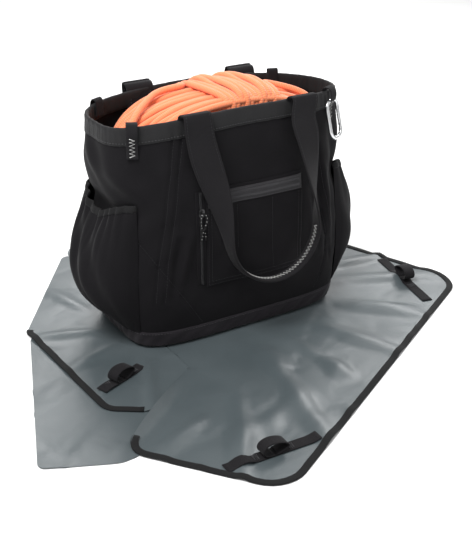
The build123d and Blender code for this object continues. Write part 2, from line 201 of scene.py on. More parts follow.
def stitches(name, paths, material, body, length=0.0034, gap=0.0016, radius=0.00038):
    """Rows of single stitches, each a small closed lozenge lying along its path."""
    verts, faces = [], []
    for path in paths:
        path = np.asarray(path, float)
        along = distance_along(path)
        start = 0.0
        while start + length < along[-1]:
            a = np.array([np.interp(start, along, path[:, k]) for k in range(3)])
            b = np.array([np.interp(start + length, along, path[:, k]) for k in range(3)])
            run = (b - a) / max(np.linalg.norm(b - a), 1e-9)
            side = np.cross(run, (0.2, 0.3, 0.93))
            side /= np.linalg.norm(side)
            up = np.cross(run, side)
            first = len(verts)
            verts += [a, b]
            for quarter in range(4):
                turn = quarter * math.pi / 2
                verts.append((a + b) / 2 + radius * (side * math.cos(turn) + up * math.sin(turn)))
            for quarter in range(4):
                c, d = first + 2 + quarter, first + 2 + (quarter + 1) % 4
                faces += [(first, d, c), (first + 1, c, d)]
            start += length + gap
    outward(piece(name, verts, faces, material, body))


def easy(t):
    """A share from 0 to 1 that starts and ends gently."""
    t = np.clip(t, 0, 1)
    return t * t * (3 - 2 * t)


def squarish(wave, power):
    """A sine or cosine bent towards a square wave, with its sign kept."""
    return math.copysign(abs(wave) ** power, wave)


# ---- the bag's surface -------------------------------------------------------------------------
def section_at(height):
    """Half width, half depth, and squareness of the left and right end at a height."""
    return [np.polyval(fit, height) for fit in SECTION_FITS]


def rim_at(x):
    """Height of the rim above the bag's underside at a distance from the middle."""
    return BAG_HEIGHT - RIM_DROP * (np.clip(np.abs(x), 0, RIM_REACH) / RIM_REACH) ** 2


def ring_point(turn, height, grow=0.0):
    """Place and outward direction on the plain bag shape, at an angle and a height."""
    half_x, half_y, left, right = section_at(height)
    half_x, half_y = half_x + grow, half_y + grow
    c, s = np.cos(turn), np.sin(turn)
    square = np.where(c > 0, right, left)
    reach = (np.abs(c) ** square + np.abs(s) ** square) ** (-1 / square)
    x, y = reach * c, reach * s
    nx = np.sign(x) * np.abs(x) ** (square - 1) / half_x
    ny = np.sign(y) * np.abs(y) ** (square - 1) / half_y
    size = np.sqrt(nx**2 + ny**2)
    place = np.stack([half_x * x, half_y * y, BAG_FLOOR + height + 0 * x], -1)
    return place, np.stack([nx / size, ny / size, 0 * x], -1)


def front_turn(x, height, side=-1):
    """The angle at which the bag's front (or back) is at a place along it."""
    half_x, _, left, right = section_at(height)
    square = np.where(np.asarray(x) > 0, right, left)
    share = np.clip(np.abs(x) / half_x, 0, 0.9999)
    return np.arctan2(side * (1 - share**square) ** (1 / square), np.asarray(x) / half_x)


# Creases of the worn cloth: two ends, half width and depth. A minus depth is a ridge.
CREASES = [
    ((-0.126, -0.100, 0.190), (-0.146, -0.110, 0.096), 0.007, 0.0045),
    ((-0.108, -0.104, 0.200), (-0.132, -0.110, 0.130), 0.009, -0.0035),
    ((-0.206, -0.060, 0.330), (-0.150, -0.100, 0.262), 0.016, 0.0035),
    ((-0.214, -0.010, 0.290), (-0.190, -0.080, 0.250), 0.014, 0.0050),
    ((-0.150, -0.090, 0.352), (-0.132, -0.098, 0.250), 0.010, -0.0022),
    ((0.136, -0.090, 0.300), (0.150, -0.100, 0.150), 0.008, 0.0050),
    ((0.156, -0.086, 0.250), (0.168, -0.090, 0.120), 0.008, -0.0050),
    ((0.122, -0.096, 0.235), (0.140, -0.104, 0.120), 0.006, 0.0040),
    ((0.180, -0.070, 0.320), (0.186, -0.070, 0.220), 0.012, 0.0040),
    ((-0.050, -0.100, 0.130), (0.080, -0.105, 0.090), 0.022, -0.0030),
    ((-0.020, -0.090, 0.330), (0.050, -0.100, 0.270), 0.018, 0.0016),
    ((0.030, -0.090, 0.340), (0.088, -0.095, 0.285), 0.012, -0.0015),
    ((-0.120, 0.095, 0.320), (-0.060, 0.104, 0.180), 0.016, 0.0040),
    ((0.020, 0.100, 0.280), (0.110, 0.108, 0.120), 0.018, 0.0035),
    ((0.140, 0.085, 0.330), (0.120, 0.100, 0.210), 0.012, -0.0030),
    ((-0.170, 0.080, 0.260), (-0.110, 0.105, 0.090), 0.014, -0.0035),
    ((0.214, -0.030, 0.330), (0.206, 0.030, 0.270), 0.014, 0.0050),
    ((-0.218, 0.030, 0.340), (-0.208, -0.030, 0.270), 0.012, -0.0040),
]
# Seams that the front panels are joined along: places along the front and heights.
SEAMS = [
    [(-0.128, 0.374), (-0.140, 0.300), (-0.152, 0.220), (-0.164, 0.160), (-0.172, 0.090)],
    [(-0.114, 0.374), (-0.126, 0.300), (-0.138, 0.220), (-0.150, 0.160), (-0.158, 0.090)],
    [(-0.196, 0.200), (-0.164, 0.150), (-0.130, 0.098), (-0.092, 0.040)],
    [(0.128, 0.372), (0.140, 0.300), (0.152, 0.220), (0.164, 0.160), (0.172, 0.090)],
    [(0.150, 0.182), (0.158, 0.140), (0.160, 0.106), (0.146, 0.066), (0.128, 0.040)],
]
# Full and hollow places near the bag's ends: place along it, reach, height, reach and depth.
BULGES = [
    (-0.222, 0.035, 0.294, 0.044, 0.015), (0.218, 0.035, 0.300, 0.040, 0.006),
    (-0.212, 0.030, 0.236, 0.016, -0.006), (0.212, 0.030, 0.236, 0.016, -0.006),
]
SEAM_DEPTH, SEAM_REACH = 0.0016, 0.0026


def segment_distance(place, a, b):
    """Distance from places to a straight line between two ends, and the share along it."""
    a, b = np.array(a), np.array(b)
    run = b - a
    t = np.clip(((place - a) @ run) / (run @ run), 0, 1)
    return np.linalg.norm(place - (a + t[..., None] * run), axis=-1), t


def wrinkles(place):
    """How far the sewn cloth stands off the plain shape, at points on it."""
    x, y, z = place[..., 0], place[..., 1], place[..., 2]
    out = 0.0016 * np.sin(31 * x + 17 * z + 1.3) * np.sin(23 * z - 19 * y + 0.7)
    out += 0.0009 * np.sin(71 * x - 37 * z) * np.sin(53 * y + 61 * z + 2.1)
    for a, b, width, depth in CREASES:
        far, t = segment_distance(place, a, b)
        fade = np.sin(np.pi * np.clip(0.12 + 0.76 * t, 0, 1))
        dip = np.exp(-((far / width) ** 2)) - 0.45 * np.exp(-(((far - 1.9 * width) / width) ** 2))
        out -= depth * fade * dip
    for at_x, reach_x, at_z, reach_z, depth in BULGES:
        out += depth * np.exp(-(((x - at_x) / reach_x) ** 2) - ((z - at_z) / reach_z) ** 2)
    flat = np.stack([x, z], -1)
    for points in SEAMS:
        for a, b in zip(points, points[1:]):
            far, _ = segment_distance(flat, a, b)
            out -= np.where(y < 0, SEAM_DEPTH * np.exp(-((far / SEAM_REACH) ** 2)), 0)
    calm = np.clip((z - BAG_FLOOR - BOOT_HEIGHT) / 0.04, 0, 1) * np.clip((0.40 - z) / 0.05, 0.25, 1)
    return out * calm


def skin(turn, height, out=0.0):
    """A point on the worn bag, standing a distance off its cloth."""
    place, away = ring_point(turn, height)
    return place + away * (wrinkles(place) + out)[..., None]


def on_front(x, z, out):
    """A point on the bag's front at a place along it and a height above the floor."""
    height = np.asarray(z, float) - BAG_FLOOR
    return skin(front_turn(np.asarray(x, float), height), height, np.asarray(out) + 0 * height)


# ---- materials -------------------------------------------------------------------------------
def set_inputs(node, **settings):
    """Sets a shader node's inputs; an underscore stands for a space in an input's name."""
    for label, value in settings.items():
        node.inputs[label.replace("_", " ")].default_value = value
    return node


def group_node(tree, group, **settings):
    """A node that uses a group, with its inputs set."""
    node = tree.nodes.new("ShaderNodeGroup")
    node.node_tree = group
    return set_inputs(node, **settings)


def math_node(tree, operation, a, b=None, c=None, clamp=False):
    """The result of a maths node; each input is a number or another node's output."""
    node = tree.nodes.new("ShaderNodeMath")
    node.operation = operation
    node.use_clamp = clamp
    for index, value in enumerate((a, b, c)):
        if isinstance(value, (int, float)):
            node.inputs[index].default_value = value
        elif value is not None:
            tree.links.new(value, node.inputs[index])
    return node.outputs[0]


def noise(tree, **settings):
    """Noise over the object's own coordinates."""
    node = set_inputs(tree.nodes.new("ShaderNodeTexNoise"), **settings)
    coords = tree.nodes.new("ShaderNodeTexCoord")
    tree.links.new(coords.outputs["Object"], node.inputs["Vector"])
    return node


def colour_ramp(tree, share, low=(0, 0, 0), high=(1, 1, 1), start=0.0, stop=1.0):
    """A colour that runs from low to high as a share grows."""
    node = tree.nodes.new("ShaderNodeValToRGB")
    for element, colour, place in zip(node.color_ramp.elements, (low, high), (start, stop)):
        element.color = (*colour, 1)
        element.position = place
    tree.links.new(share, node.inputs[0])
    return node.outputs[0]


def mixed(tree, factor, a, b, blend="MIX"):
    """Two colours mixed."""
    node = tree.nodes.new("ShaderNodeMix")
    node.data_type = "RGBA"
    node.blend_type = blend
    if isinstance(factor, float):
        node.inputs["Factor"].default_value = factor
    else:
        tree.links.new(factor, node.inputs["Factor"])
    tree.links.new(a, node.inputs["A"])
    tree.links.new(b, node.inputs["B"])
    return node.outputs["Result"]


def bump(tree, height, strength, depth):
    """A bump node over a height."""
    node = set_inputs(tree.nodes.new("ShaderNodeBump"), Strength=strength, Distance=depth)
    tree.links.new(height, node.inputs["Height"])
    return node


def vary_gloss(tree, shader, share, low, high):
    """Makes the roughness run from low to high as a share grows."""
    node = set_inputs(tree.nodes.new("ShaderNodeMapRange"), To_Min=low, To_Max=high)
    tree.links.new(share, node.inputs["Value"])
    tree.links.new(node.outputs["Result"], shader.inputs["Roughness"])


def new_group(name, inputs, output, output_kind):
    """An empty shader node group with named inputs and one output."""
    group = bpy.data.node_groups.new(name, "ShaderNodeTree")
    for label, kind, value in inputs:
        socket = group.interface.new_socket(name=label, in_out="INPUT", socket_type=kind)
        if value is not None:
            socket.default_value = value
    group.interface.new_socket(name=output, in_out="OUTPUT", socket_type=output_kind)
    return group, group.nodes.new("NodeGroupInput"), group.nodes.new("NodeGroupOutput")


def weave_group():
    """The height of crossing yarns."""
    group, enter, leave = new_group(
        "woven_yarns", [("Yarns per metre", "NodeSocketFloat", 900.0),
                        ("Slant", "NodeSocketFloat", 0.0)],
        "Height", "NodeSocketFloat")
    coords = group.nodes.new("ShaderNodeTexCoord")
    split = group.nodes.new("ShaderNodeSeparateXYZ")
    group.links.new(coords.outputs["Object"], split.inputs[0])
    x, y, z = split.outputs
    pitch = math_node(group, "MULTIPLY", enter.outputs["Yarns per metre"], 2 * math.pi)
    level = math_node(group, "ADD", x, y)
    slanted = math_node(group, "MULTIPLY", level, enter.outputs["Slant"])
    waves = []
    for way in (level, math_node(group, "ADD", z, slanted), math_node(group, "SUBTRACT", x, y)):
        waves.append(math_node(group, "SINE", math_node(group, "MULTIPLY", way, pitch)))
    warp, weft, weft_flat = waves
    both = math_node(group, "MULTIPLY", warp, math_node(group, "ADD", weft, weft_flat))
    group.links.new(math_node(group, "MULTIPLY_ADD", both, 0.25, 0.5), leave.inputs["Height"])
    return group


def wear_group():
    """Soft uneven patches of fading and fine dust on a cloth's colour."""
    group, enter, leave = new_group(
        "faded_cloth",
        [("Colour", "NodeSocketColor", None), ("Faded colour", "NodeSocketColor", None),
         ("Dust", "NodeSocketFloat", 0.1), ("Patch size", "NodeSocketFloat", 9.0)],
        "Colour", "NodeSocketColor")
    patches = noise(group, Detail=6)
    group.links.new(enter.outputs["Patch size"], patches.inputs["Scale"])
    fading = colour_ramp(group, patches.outputs["Fac"], start=0.38, stop=0.68)
    specks = math_node(group, "GREATER_THAN", noise(group, Scale=700).outputs["Fac"], 0.66)
    dusty = math_node(group, "MULTIPLY", specks, enter.outputs["Dust"])
    amount = math_node(group, "ADD", math_node(group, "MULTIPLY", fading, 0.55), dusty, clamp=True)
    worn = mixed(group, amount, enter.outputs["Colour"], enter.outputs["Faded colour"])
    group.links.new(worn, leave.inputs["Colour"])
    return group


WEAVE = weave_group()
WEAR = wear_group()


def base_material(name, roughness, metallic=0.0, specular=0.5):
    """A new material, its node tree and its shader."""
    material = bpy.data.materials.new(name)
    material.use_nodes = True
    shader = material.node_tree.nodes["Principled BSDF"]
    set_inputs(shader, Roughness=roughness, Metallic=metallic, Specular_IOR_Level=specular)
    return material, material.node_tree, shader


def cloth(name, colour, faded, yarns, roughness=0.85, sheen=0.25, relief=0.35, slant=0.0, dust=0.12,
          patch=9.0, specular=0.3, depth=0.0002):
    """Woven cloth: faded patches, dust, yarn relief, painted shade in the hollows between yarns, and a soft
    sheen.
    """
    material, tree, shader = base_material(name, roughness, specular=specular)
    wear = group_node(tree, WEAR, Colour=(*colour, 1), Faded_colour=(*faded, 1), Dust=dust,
                      Patch_size=patch)
    height = group_node(tree, WEAVE, Yarns_per_metre=yarns, Slant=slant).outputs["Height"]
    # Painted shade: the cloth's colour is darkened in the hollows between yarns.
    painted_yarn_shade = colour_ramp(tree, height, low=(0.45, 0.45, 0.45))
    tree.links.new(mixed(tree, 0.5, wear.outputs["Colour"], painted_yarn_shade, "MULTIPLY"),
                   shader.inputs["Base Color"])
    tree.links.new(bump(tree, height, relief, depth).outputs["Normal"], shader.inputs["Normal"])
    set_inputs(shader, Sheen_Weight=sheen, Sheen_Roughness=0.45)
    return material


def coated_cloth():
    """The tarp's coated cloth: smooth, with a silky gloss that breaks up over its crumples."""
    material = cloth("tarp_cloth", (0.066, 0.084, 0.091), (0.104, 0.126, 0.134), 1100, roughness=0.38,
                     sheen=0.05, relief=0.12, dust=0.05, patch=5.0, specular=0.8)
    tree = material.node_tree
    shader = tree.nodes["Principled BSDF"]
    yarns = shader.inputs["Normal"].links[0].from_node
    crumple = noise(tree, Scale=11, Detail=2.5, Distortion=0.5).outputs["Fac"]
    tree.links.new(bump(tree, crumple, 0.6, 0.006).outputs["Normal"], yarns.inputs["Normal"])
    vary_gloss(tree, shader, crumple, 0.32, 0.52)
    set_inputs(shader, Anisotropic=0.3)
    return material


def braid():
    """The rope's plaited sheath: two crossing sets of strands round and along it, with painted shade in the
    grooves between strands and a paler painted highlight on their crowns.
    """
    carriers = 10
    material, tree, shader = base_material("rope_sheath", 0.72, specular=0.3)
    coords = tree.nodes.new("ShaderNodeUVMap")
    coords.uv_map = "round_and_along"
    split = tree.nodes.new("ShaderNodeSeparateXYZ")
    tree.links.new(coords.outputs[0], split.inputs[0])
    around = math_node(tree, "MULTIPLY", split.outputs[0], carriers * 2 * math.pi)
    along = math_node(tree, "MULTIPLY", split.outputs[1], 2 * math.pi)
    left = math_node(tree, "SINE", math_node(tree, "ADD", around, along))
    right = math_node(tree, "SINE", math_node(tree, "SUBTRACT", around, along))
    plait = math_node(tree, "MULTIPLY_ADD", math_node(tree, "MULTIPLY", left, right), 0.5, 0.5)
    # Painted shade and highlight: the plait's grooves are coloured deep red and its crowns pale orange.
    colour = colour_ramp(tree, plait, (0.80, 0.135, 0.042), (1.0, 0.390, 0.190))
    tree.links.new(colour, shader.inputs["Base Color"])
    tree.links.new(bump(tree, plait, 0.7, 0.0005).outputs["Normal"], shader.inputs["Normal"])
    set_inputs(shader, Sheen_Weight=0.35, Subsurface_Weight=0.08,
               Subsurface_Radius=(0.004, 0.0015, 0.0008))
    return material


def hard(name, colour, roughness, metallic, scratch=0.08, coat=0.0):
    """Metal, thread or moulded plastic with fine handling marks in its gloss."""
    material, tree, shader = base_material(name, roughness, metallic)
    marks = noise(tree, Scale=260, Detail=8, Distortion=1.4).outputs["Fac"]
    vary_gloss(tree, shader, marks, max(roughness - scratch, 0.04), roughness + scratch)
    tree.links.new(colour_ramp(tree, marks, [c * 0.82 for c in colour], colour),
                   shader.inputs["Base Color"])
    set_inputs(shader, Coat_Weight=coat)
    return material


BAG_CLOTH = cloth("bag_cloth", (0.0040, 0.0034, 0.0046), (0.0078, 0.0070, 0.0086), 1300, sheen=0.03,
                  specular=0.18)
BOOT_CLOTH = cloth("boot_cloth", (0.0150, 0.0122, 0.0160), (0.0230, 0.0190, 0.0240), 700, sheen=0.08,
                   relief=0.5)
HEM_CLOTH = cloth("hem_cloth", (0.0110, 0.0108, 0.0118), (0.0180, 0.0176, 0.0186), 1300, sheen=0.08)
WEBBING = cloth("strap_webbing", (0.0082, 0.0074, 0.0088), (0.0140, 0.0130, 0.0148), 560, sheen=0.05,
                specular=0.2, relief=0.7, depth=0.0004)
TWILL = cloth("twill_webbing", (0.0260, 0.0245, 0.0275), (0.0440, 0.0420, 0.0460), 330, sheen=0.12,
              relief=1.0, slant=1.0,
              depth=0.0006)
ELASTIC = cloth("elastic_edge", (0.0042, 0.0040, 0.0046), (0.0080, 0.0078, 0.0085), 420, sheen=0.03,
                relief=0.8)
BINDING = cloth("tarp_binding_tape", (0.0040, 0.0040, 0.0045), (0.0080, 0.0080, 0.0085), 900, sheen=0.05)
TARP = coated_cloth()
ROPE = braid()
DARK_THREAD = hard("dark_thread", (0.030, 0.030, 0.033), 0.6, 0)
GREY_THREAD = hard("grey_thread", (0.075, 0.075, 0.08), 0.6, 0)
WHITE_THREAD = hard("white_thread", (0.82, 0.82, 0.80), 0.6, 0)
COIL_PLASTIC = hard("zip_coil_plastic", (0.016, 0.016, 0.018), 0.45, 0)
SLIDER_METAL = hard("slider_lacquer", (0.05, 0.05, 0.052), 0.35, 0.8, coat=0.3)
SILVER = hard("polished_silver", (0.86, 0.87, 0.88), 0.2, 1.0, scratch=0.05)
PIN_STEEL = hard("pin_steel", (0.58, 0.59, 0.61), 0.3, 1.0)


# ---- camera, floor and light -------------------------------------------------------------------
def camera():
    """A portrait lens at standing height, a third of a turn round from the bag's front."""
    yaw, pitch, roll = math.radians(-32.38), math.radians(26.84), math.radians(1.07)
    back = Vector((math.sin(yaw) * math.cos(pitch), -math.cos(yaw) * math.cos(pitch), math.sin(pitch)))
    level = Vector((math.cos(yaw), math.sin(yaw), 0))
    up = back.cross(level)
    right = level * math.cos(roll) + up * math.sin(roll)
    up = back.cross(right)
    data = bpy.data.cameras.new("camera")
    data.lens = 68.05
    data.sensor_width = 36
    made = bpy.data.objects.new("camera", data)
    place = Vector((-0.8407, -1.3881, 0.8784))
    made.matrix_world = Matrix((
        (right.x, up.x, back.x, place.x), (right.y, up.y, back.y, place.y),
        (right.z, up.z, back.z, place.z), (0, 0, 0, 1),
    ))
    bpy.context.collection.objects.link(made)
    bpy.context.scene.camera = made


def area_light(name, place, aim, size, power):
    """A square lamp that faces a place."""
    data = bpy.data.lights.new(name, "AREA")
    data.size = size
    data.energy = power
    made = bpy.data.objects.new(name, data)
    made.location = place
    made.rotation_euler = (Vector(aim) - Vector(place)).to_track_quat("-Z", "Y").to_euler()
    bpy.context.collection.objects.link(made)


def studio():
    """A white floor and sky with three soft lamps."""
    mesh = bpy.data.meshes.new("floor")
    half = 6.0
    mesh.from_pydata([(-half, -half, 0), (half, -half, 0), (half, half, 0), (-half, half, 0)], [],
                     [(0, 1, 2, 3)])
    floor = bpy.data.objects.new("floor", mesh)
    material, _, shader = base_material("studio_floor", 0.9, specular=0.1)
    shader.inputs["Base Color"].default_value = (0.93, 0.93, 0.93, 1)
    mesh.materials.append(material)
    bpy.context.collection.objects.link(floor)
    world = bpy.data.worlds.new("studio")
    bpy.context.scene.world = world
    world.use_nodes = True
    world.node_tree.nodes["Background"].inputs["Color"].default_value = (1.0, 1.0, 1.0, 1)
    world.node_tree.nodes["Background"].inputs["Strength"].default_value = 0.62
    area_light("key", (-1.1, -0.6, 2.2), (0, 0, 0.2), 0.9, 58)
    area_light("right_fill", (1.7, 0.9, 1.5), (0.1, 0, 0.1), 0.9, 20)
    area_light("back_glow", (0.7, 2.0, 1.9), (0, 0, 0.1), 1.0, 24)
    bpy.context.scene.view_settings.view_transform = "Standard"


# ---- rope --------------------------------------------------------------------------------------
HANK_HALF, HANK_RISE, HANK_SPRING = 0.205, 0.128, 0.268


def end_taper(y):
    """How much shorter the hank is towards the bag's rounded front and back."""
    return 1 - 0.34 * (y / 0.09) ** 2


def arch(s, y, drop):
    """A place in the bent hank: s from -1 to 1 over its top, y across it, drop inwards."""
    turn = math.pi / 2 * (1 - s)
    c, u = math.cos(turn), math.sin(turn)
    x = (HANK_HALF - drop) * squarish(c, 0.80) * end_taper(y)
    return np.array((x, y, HANK_SPRING + (HANK_RISE - drop) * abs(u) ** 0.80))


def arch_at(x, y, drop):
    """As arch, with the place along the bag instead of a share."""
    share = math.copysign(min(abs(x) / (HANK_HALF - drop), 1) ** 1.25, x)
    return arch(math.asin(share) * 2 / math.pi, y, drop)


def passes():
    """The lengthwise turns of the hank: up one leg, over the top, down the other and back."""
    points = []
    layers, pairs = 4, 6
    gap, layer_gap = 0.0113, 0.0098
    go = -1
    count = 0
    for layer in range(layers):
        drop = 0.008 + layer * layer_gap
        for slot in range(2 * pairs):
            column = slot // 2 + (slot % 2) * pairs
            y = (column - (pairs - 0.5)) * gap + (0.003 if layer % 2 else -0.0015)
            count += 1
            sway = 0.0045 * math.sin(2.4 * count)
            leg_x = (HANK_HALF - drop - 0.004) * end_taper(y * 0.85)
            tail = [(go * leg_x * 0.95, y * 0.80, 0.070), (go * leg_x * 0.99, y * 0.78, 0.150),
                    (go * leg_x, y * 0.76 + sway, 0.225)]
            points += tail
            for s in np.linspace(-0.94, 0.94, 11):
                pinch = 1 - 0.16 * abs(s) ** 3 - 0.10 * math.exp(-((s + go * 0.06) / 0.4) ** 2)
                lift = 0.0030 * math.sin(5.1 * s + 1.7 * count) * (1 - 0.6 * math.exp(-((s / 0.3) ** 2)))
                points.append(arch(-s * go, y * pinch + sway * 2.6 * s * s, drop + lift))
            points += [(-x, tail_y, z) for x, tail_y, z in tail[::-1]]
            step = pairs * gap if slot % 2 == 0 else -(pairs - 1) * gap
            x = -go * leg_x * 0.93
            depth = 0.034 + 0.004 * (count % 3)
            points += [(x, y * 0.8, depth), (x, (y + step / 2) * 0.8, depth - 0.012),
                       (x, (y + step) * 0.8, depth)]
            go = -go
    return points


def wraps(start, stop, count):
    """The turns that bind the hank's middle, some riding over their neighbours."""
    points = []
    per_wrap = 14
    half_depth = 0.0615
    total = count * per_wrap
    for k in range(total):
        turn = 2 * math.pi * k / per_wrap
        x = start + (stop - start) * k / total
        wrap = k // per_wrap
        across, rise = math.sin(turn), math.cos(turn)
        y = -half_depth * squarish(across, 0.75) * (0.97 + 0.03 * math.sin(2.1 * wrap))
        high = 0.0070 if wrap in (2, 3, 7, 8) else 0.0
        drop = 0.0200 - (0.0225 + (high if rise > 0 else 0)) * squarish(rise, 0.6)
        lean = (0.014 + 0.0004 * math.sin(1.9 * wrap)) * across
        points.append(arch_at(x + lean, y, drop))
    return points


def rope_route():
    """The rope's control points from its inner end to its outer one."""
    points = passes()
    # Up from the last foot to the wraps.
    points += [(0.168, -0.030, 0.070), (0.176, -0.040, 0.180), (0.178, -0.046, 0.250)]
    points += [arch(0.72, -0.050, 0.000), arch(0.56, -0.050, -0.004), arch(0.44, -0.030, -0.006)]
    points += wraps(0.078, -0.042, 12)
    # The end crosses the lengthwise strands to the front left and drops inside.
    points += [arch(-0.26, 0.030, -0.006), arch(-0.36, 0.010, -0.006), arch(-0.46, -0.006, -0.006),
               arch(-0.58, -0.022, -0.006), arch(-0.70, -0.040, -0.002), arch(-0.84, -0.056, 0.004)]
    return points + [(-0.184, -0.060, 0.230), (-0.178, -0.062, 0.150)]


def smooth_route(points):
    """A smooth path near the rope's control points, without repeated places."""
    curve = bpy.data.curves.new("rope_route", "CURVE")
    curve.dimensions = "3D"
    spline = curve.splines.new("NURBS")
    spline.points.add(len(points) - 1)
    for place, point in zip(spline.points, points):
        place.co = (*map(float, point), 1)
    spline.order_u = 3
    spline.use_endpoint_u = True
    curve.resolution_u = 5
    guide = bpy.data.objects.new("rope_route", curve)
    bpy.context.collection.objects.link(guide)
    line = bpy.data.meshes.new_from_object(guide)
    path = np.array([v.co[:] for v in line.vertices])
    bpy.data.objects.remove(guide)
    apart = np.linalg.norm(np.diff(path, axis=0), axis=1) > 1e-6
    return path[np.concatenate([[True], apart])]


def rope():
    """The whole rope as one cord, with a map for its plait."""
    path = smooth_route(rope_route())
    sides, pitch = 10, 0.0060  # points round the rope, and length of one turn of its plait
    made = tube("rope_hank_cord", path, ROPE_THICK / 2, sides, ROPE, "rope", ["rope_hank"])
    along = distance_along(path)
    coords = []
    for face in made.data.polygons:
        ring = [v % sides for v in face.vertices]
        seam = max(ring) == sides - 1 and min(ring) == 0 and len(ring) == 4
        for v, spot in zip(face.vertices, ring):
            coords += [1.0 if seam and spot == 0 else spot / sides, along[v // sides] / pitch]
    made.data.uv_layers.new(name="round_and_along").data.foreach_set("uv", coords)


# ---- bag shell, boot and hem ---------------------------------------------------------------------
def even_turns(count):
    """Angles whose points on the bag are evenly spaced round it."""
    fine = np.linspace(-math.pi, math.pi, 6001)
    place, _ = ring_point(fine, 0.2)
    along = distance_along(place)
    return np.interp(np.linspace(0, along[-1], count, endpoint=False), along, fine)


TURNS = even_turns(400)
RIM_LEVEL = rim_at(ring_point(TURNS, 0.375)[0][:, 0])
SHELL_THICK, LINING_THICK = 0.0022, 0.0014


def shell():
    """The one visible surface of the four panels, in and out."""
    rows = 96
    foot, below_rim = 0.024, 0.005
    rings = [skin(TURNS, foot + (RIM_LEVEL - below_rim - foot) * i / (rows - 1)) for i in range(rows)]
    faces = grid_faces(rows, len(TURNS), wrap_cols=True)
    made = piece("bag_wall", np.concatenate(rings), faces, BAG_CLOTH, "bag",
                 ["front_panel", "back_panel", "left_end_panel", "right_end_panel"])
    thicken(made, SHELL_THICK)


def boot():
    """The heavier cloth base: its floor, its rounded edge and the band round the foot of the bag."""
    rings = []
    low, _ = ring_point(TURNS, 0.0)
    for share in (0.03, 0.3, 0.6, 0.85, 0.95, 0.985):
        flat = low * share
        flat[:, 2] = BAG_FLOOR + 0.0003
        rings.append(flat)
    rings.append(low * np.array((0.997, 0.997, 1)) + np.array((0, 0, 0.0012)))
    for height in np.linspace(0.0035, BOOT_HEIGHT, 16):
        place, away = ring_point(TURNS, height)
        crumple = 0.0006 * np.sin(9 * TURNS + 90 * height) + 0.0005 * np.sin(23 * TURNS + 2)
        crumple += 0.0007 * np.sin(41 * TURNS - 160 * height + np.sin(5 * TURNS))
        edge = 0.0016 if height < BOOT_HEIGHT - 0.001 else 0.0007
        fade = math.sin(math.pi * min(height / BOOT_HEIGHT, 1))
        rings.append(place + away * (edge + crumple * fade)[:, None])
    count = len(TURNS)
    faces = grid_faces(len(rings), count, wrap_cols=True)
    faces.append(tuple(range(count))[::-1])
    made = piece("boot_cloth_band", np.concatenate(rings), faces, BOOT_CLOTH, "bag",
                 ["base_boot"])
    thicken(made, SHELL_THICK)
    seam, away = ring_point(TURNS, BOOT_HEIGHT - 0.0035)
    seam = seam + away * 0.0019
    stitches("boot_stitching", [np.vstack([seam, seam[:1]])], GREY_THREAD, "bag")


# The hem's section: how far off the bag's cloth, and height over the rim.
HEM_SECTION = [
    (0.0011, -0.0265), (0.0017, -0.0255), (0.0019, -0.018), (0.0017, -0.006), (0.0014, -0.0015),
    (0.0004, 0.0004), (-0.0014, 0.0010), (-0.0032, 0.0006), (-0.0044, -0.0012), (-0.0048, -0.006),
    (-0.0048, -0.020), (-0.0044, -0.0255), (-0.0036, -0.0265),
]


def hem():
    """The turned hem over the rim, with its stitch line."""
    rings = []
    for out, up in HEM_SECTION:
        height = RIM_LEVEL + up
        uneven = 0.0004 * np.sin(37 * TURNS + 300 * up) + 0.0003 * np.sin(83 * TURNS)
        rings.append(skin(TURNS, height, out + uneven))
    faces = grid_faces(len(rings), len(TURNS), wrap_rows=True, wrap_cols=True)
    outward(piece("rim_hem", np.concatenate(rings[::-1]), faces, HEM_CLOTH, "bag",
                  ["top_hem"]))
    seam = skin(TURNS, RIM_LEVEL - 0.0225, 0.0022)
    stitches("hem_stitching", [np.vstack([seam, seam[:1]])], GREY_THREAD, "bag",
             radius=0.0005)


def seam_stitching():
    """A row of stitches beside each seam of the front."""
    paths = []
    beside = 0.0016
    for points in SEAMS:
        fine = curve_through(points, 24)
        paths.append(on_front(fine[:, 0] + beside, fine[:, 1], 0.0003))
    stitches("panel_stitching", paths, DARK_THREAD, "bag", radius=0.0003)


# ---- end pockets ---------------------------------------------------------------------------------
POUCH_HEIGHTS = [0.030, 0.050, 0.080, 0.120, 0.160, 0.200, 0.228, 0.246]
POUCH_OUT = [0.0030, 0.022, 0.043, 0.052, 0.046, 0.033, 0.021, 0.012]
POUCH_LOW, POUCH_TOP, POUCH_SAG = 0.029, 0.246, 0.024
# The elastic edge's section: height, and how far off the pocket's cloth.
ELASTIC_SECTION = [
    (0.2375, 0.0006), (0.2400, 0.0014), (0.2440, 0.0016), (0.2475, 0.0012), (0.2490, 0.0000),
    (0.2480, -0.0018), (0.2440, -0.0024), (0.2400, -0.0022), (0.2375, -0.0014),
]


def pouch_turns(hand, count):
    """Angles round the end of the bag from the pouch's one seam to the other."""
    edge = float(front_turn(hand * 0.190, 0.17, -1))
    if hand > 0:
        return np.linspace(edge, -edge, count)
    return np.linspace(edge, -2 * math.pi - edge, count)[::-1]


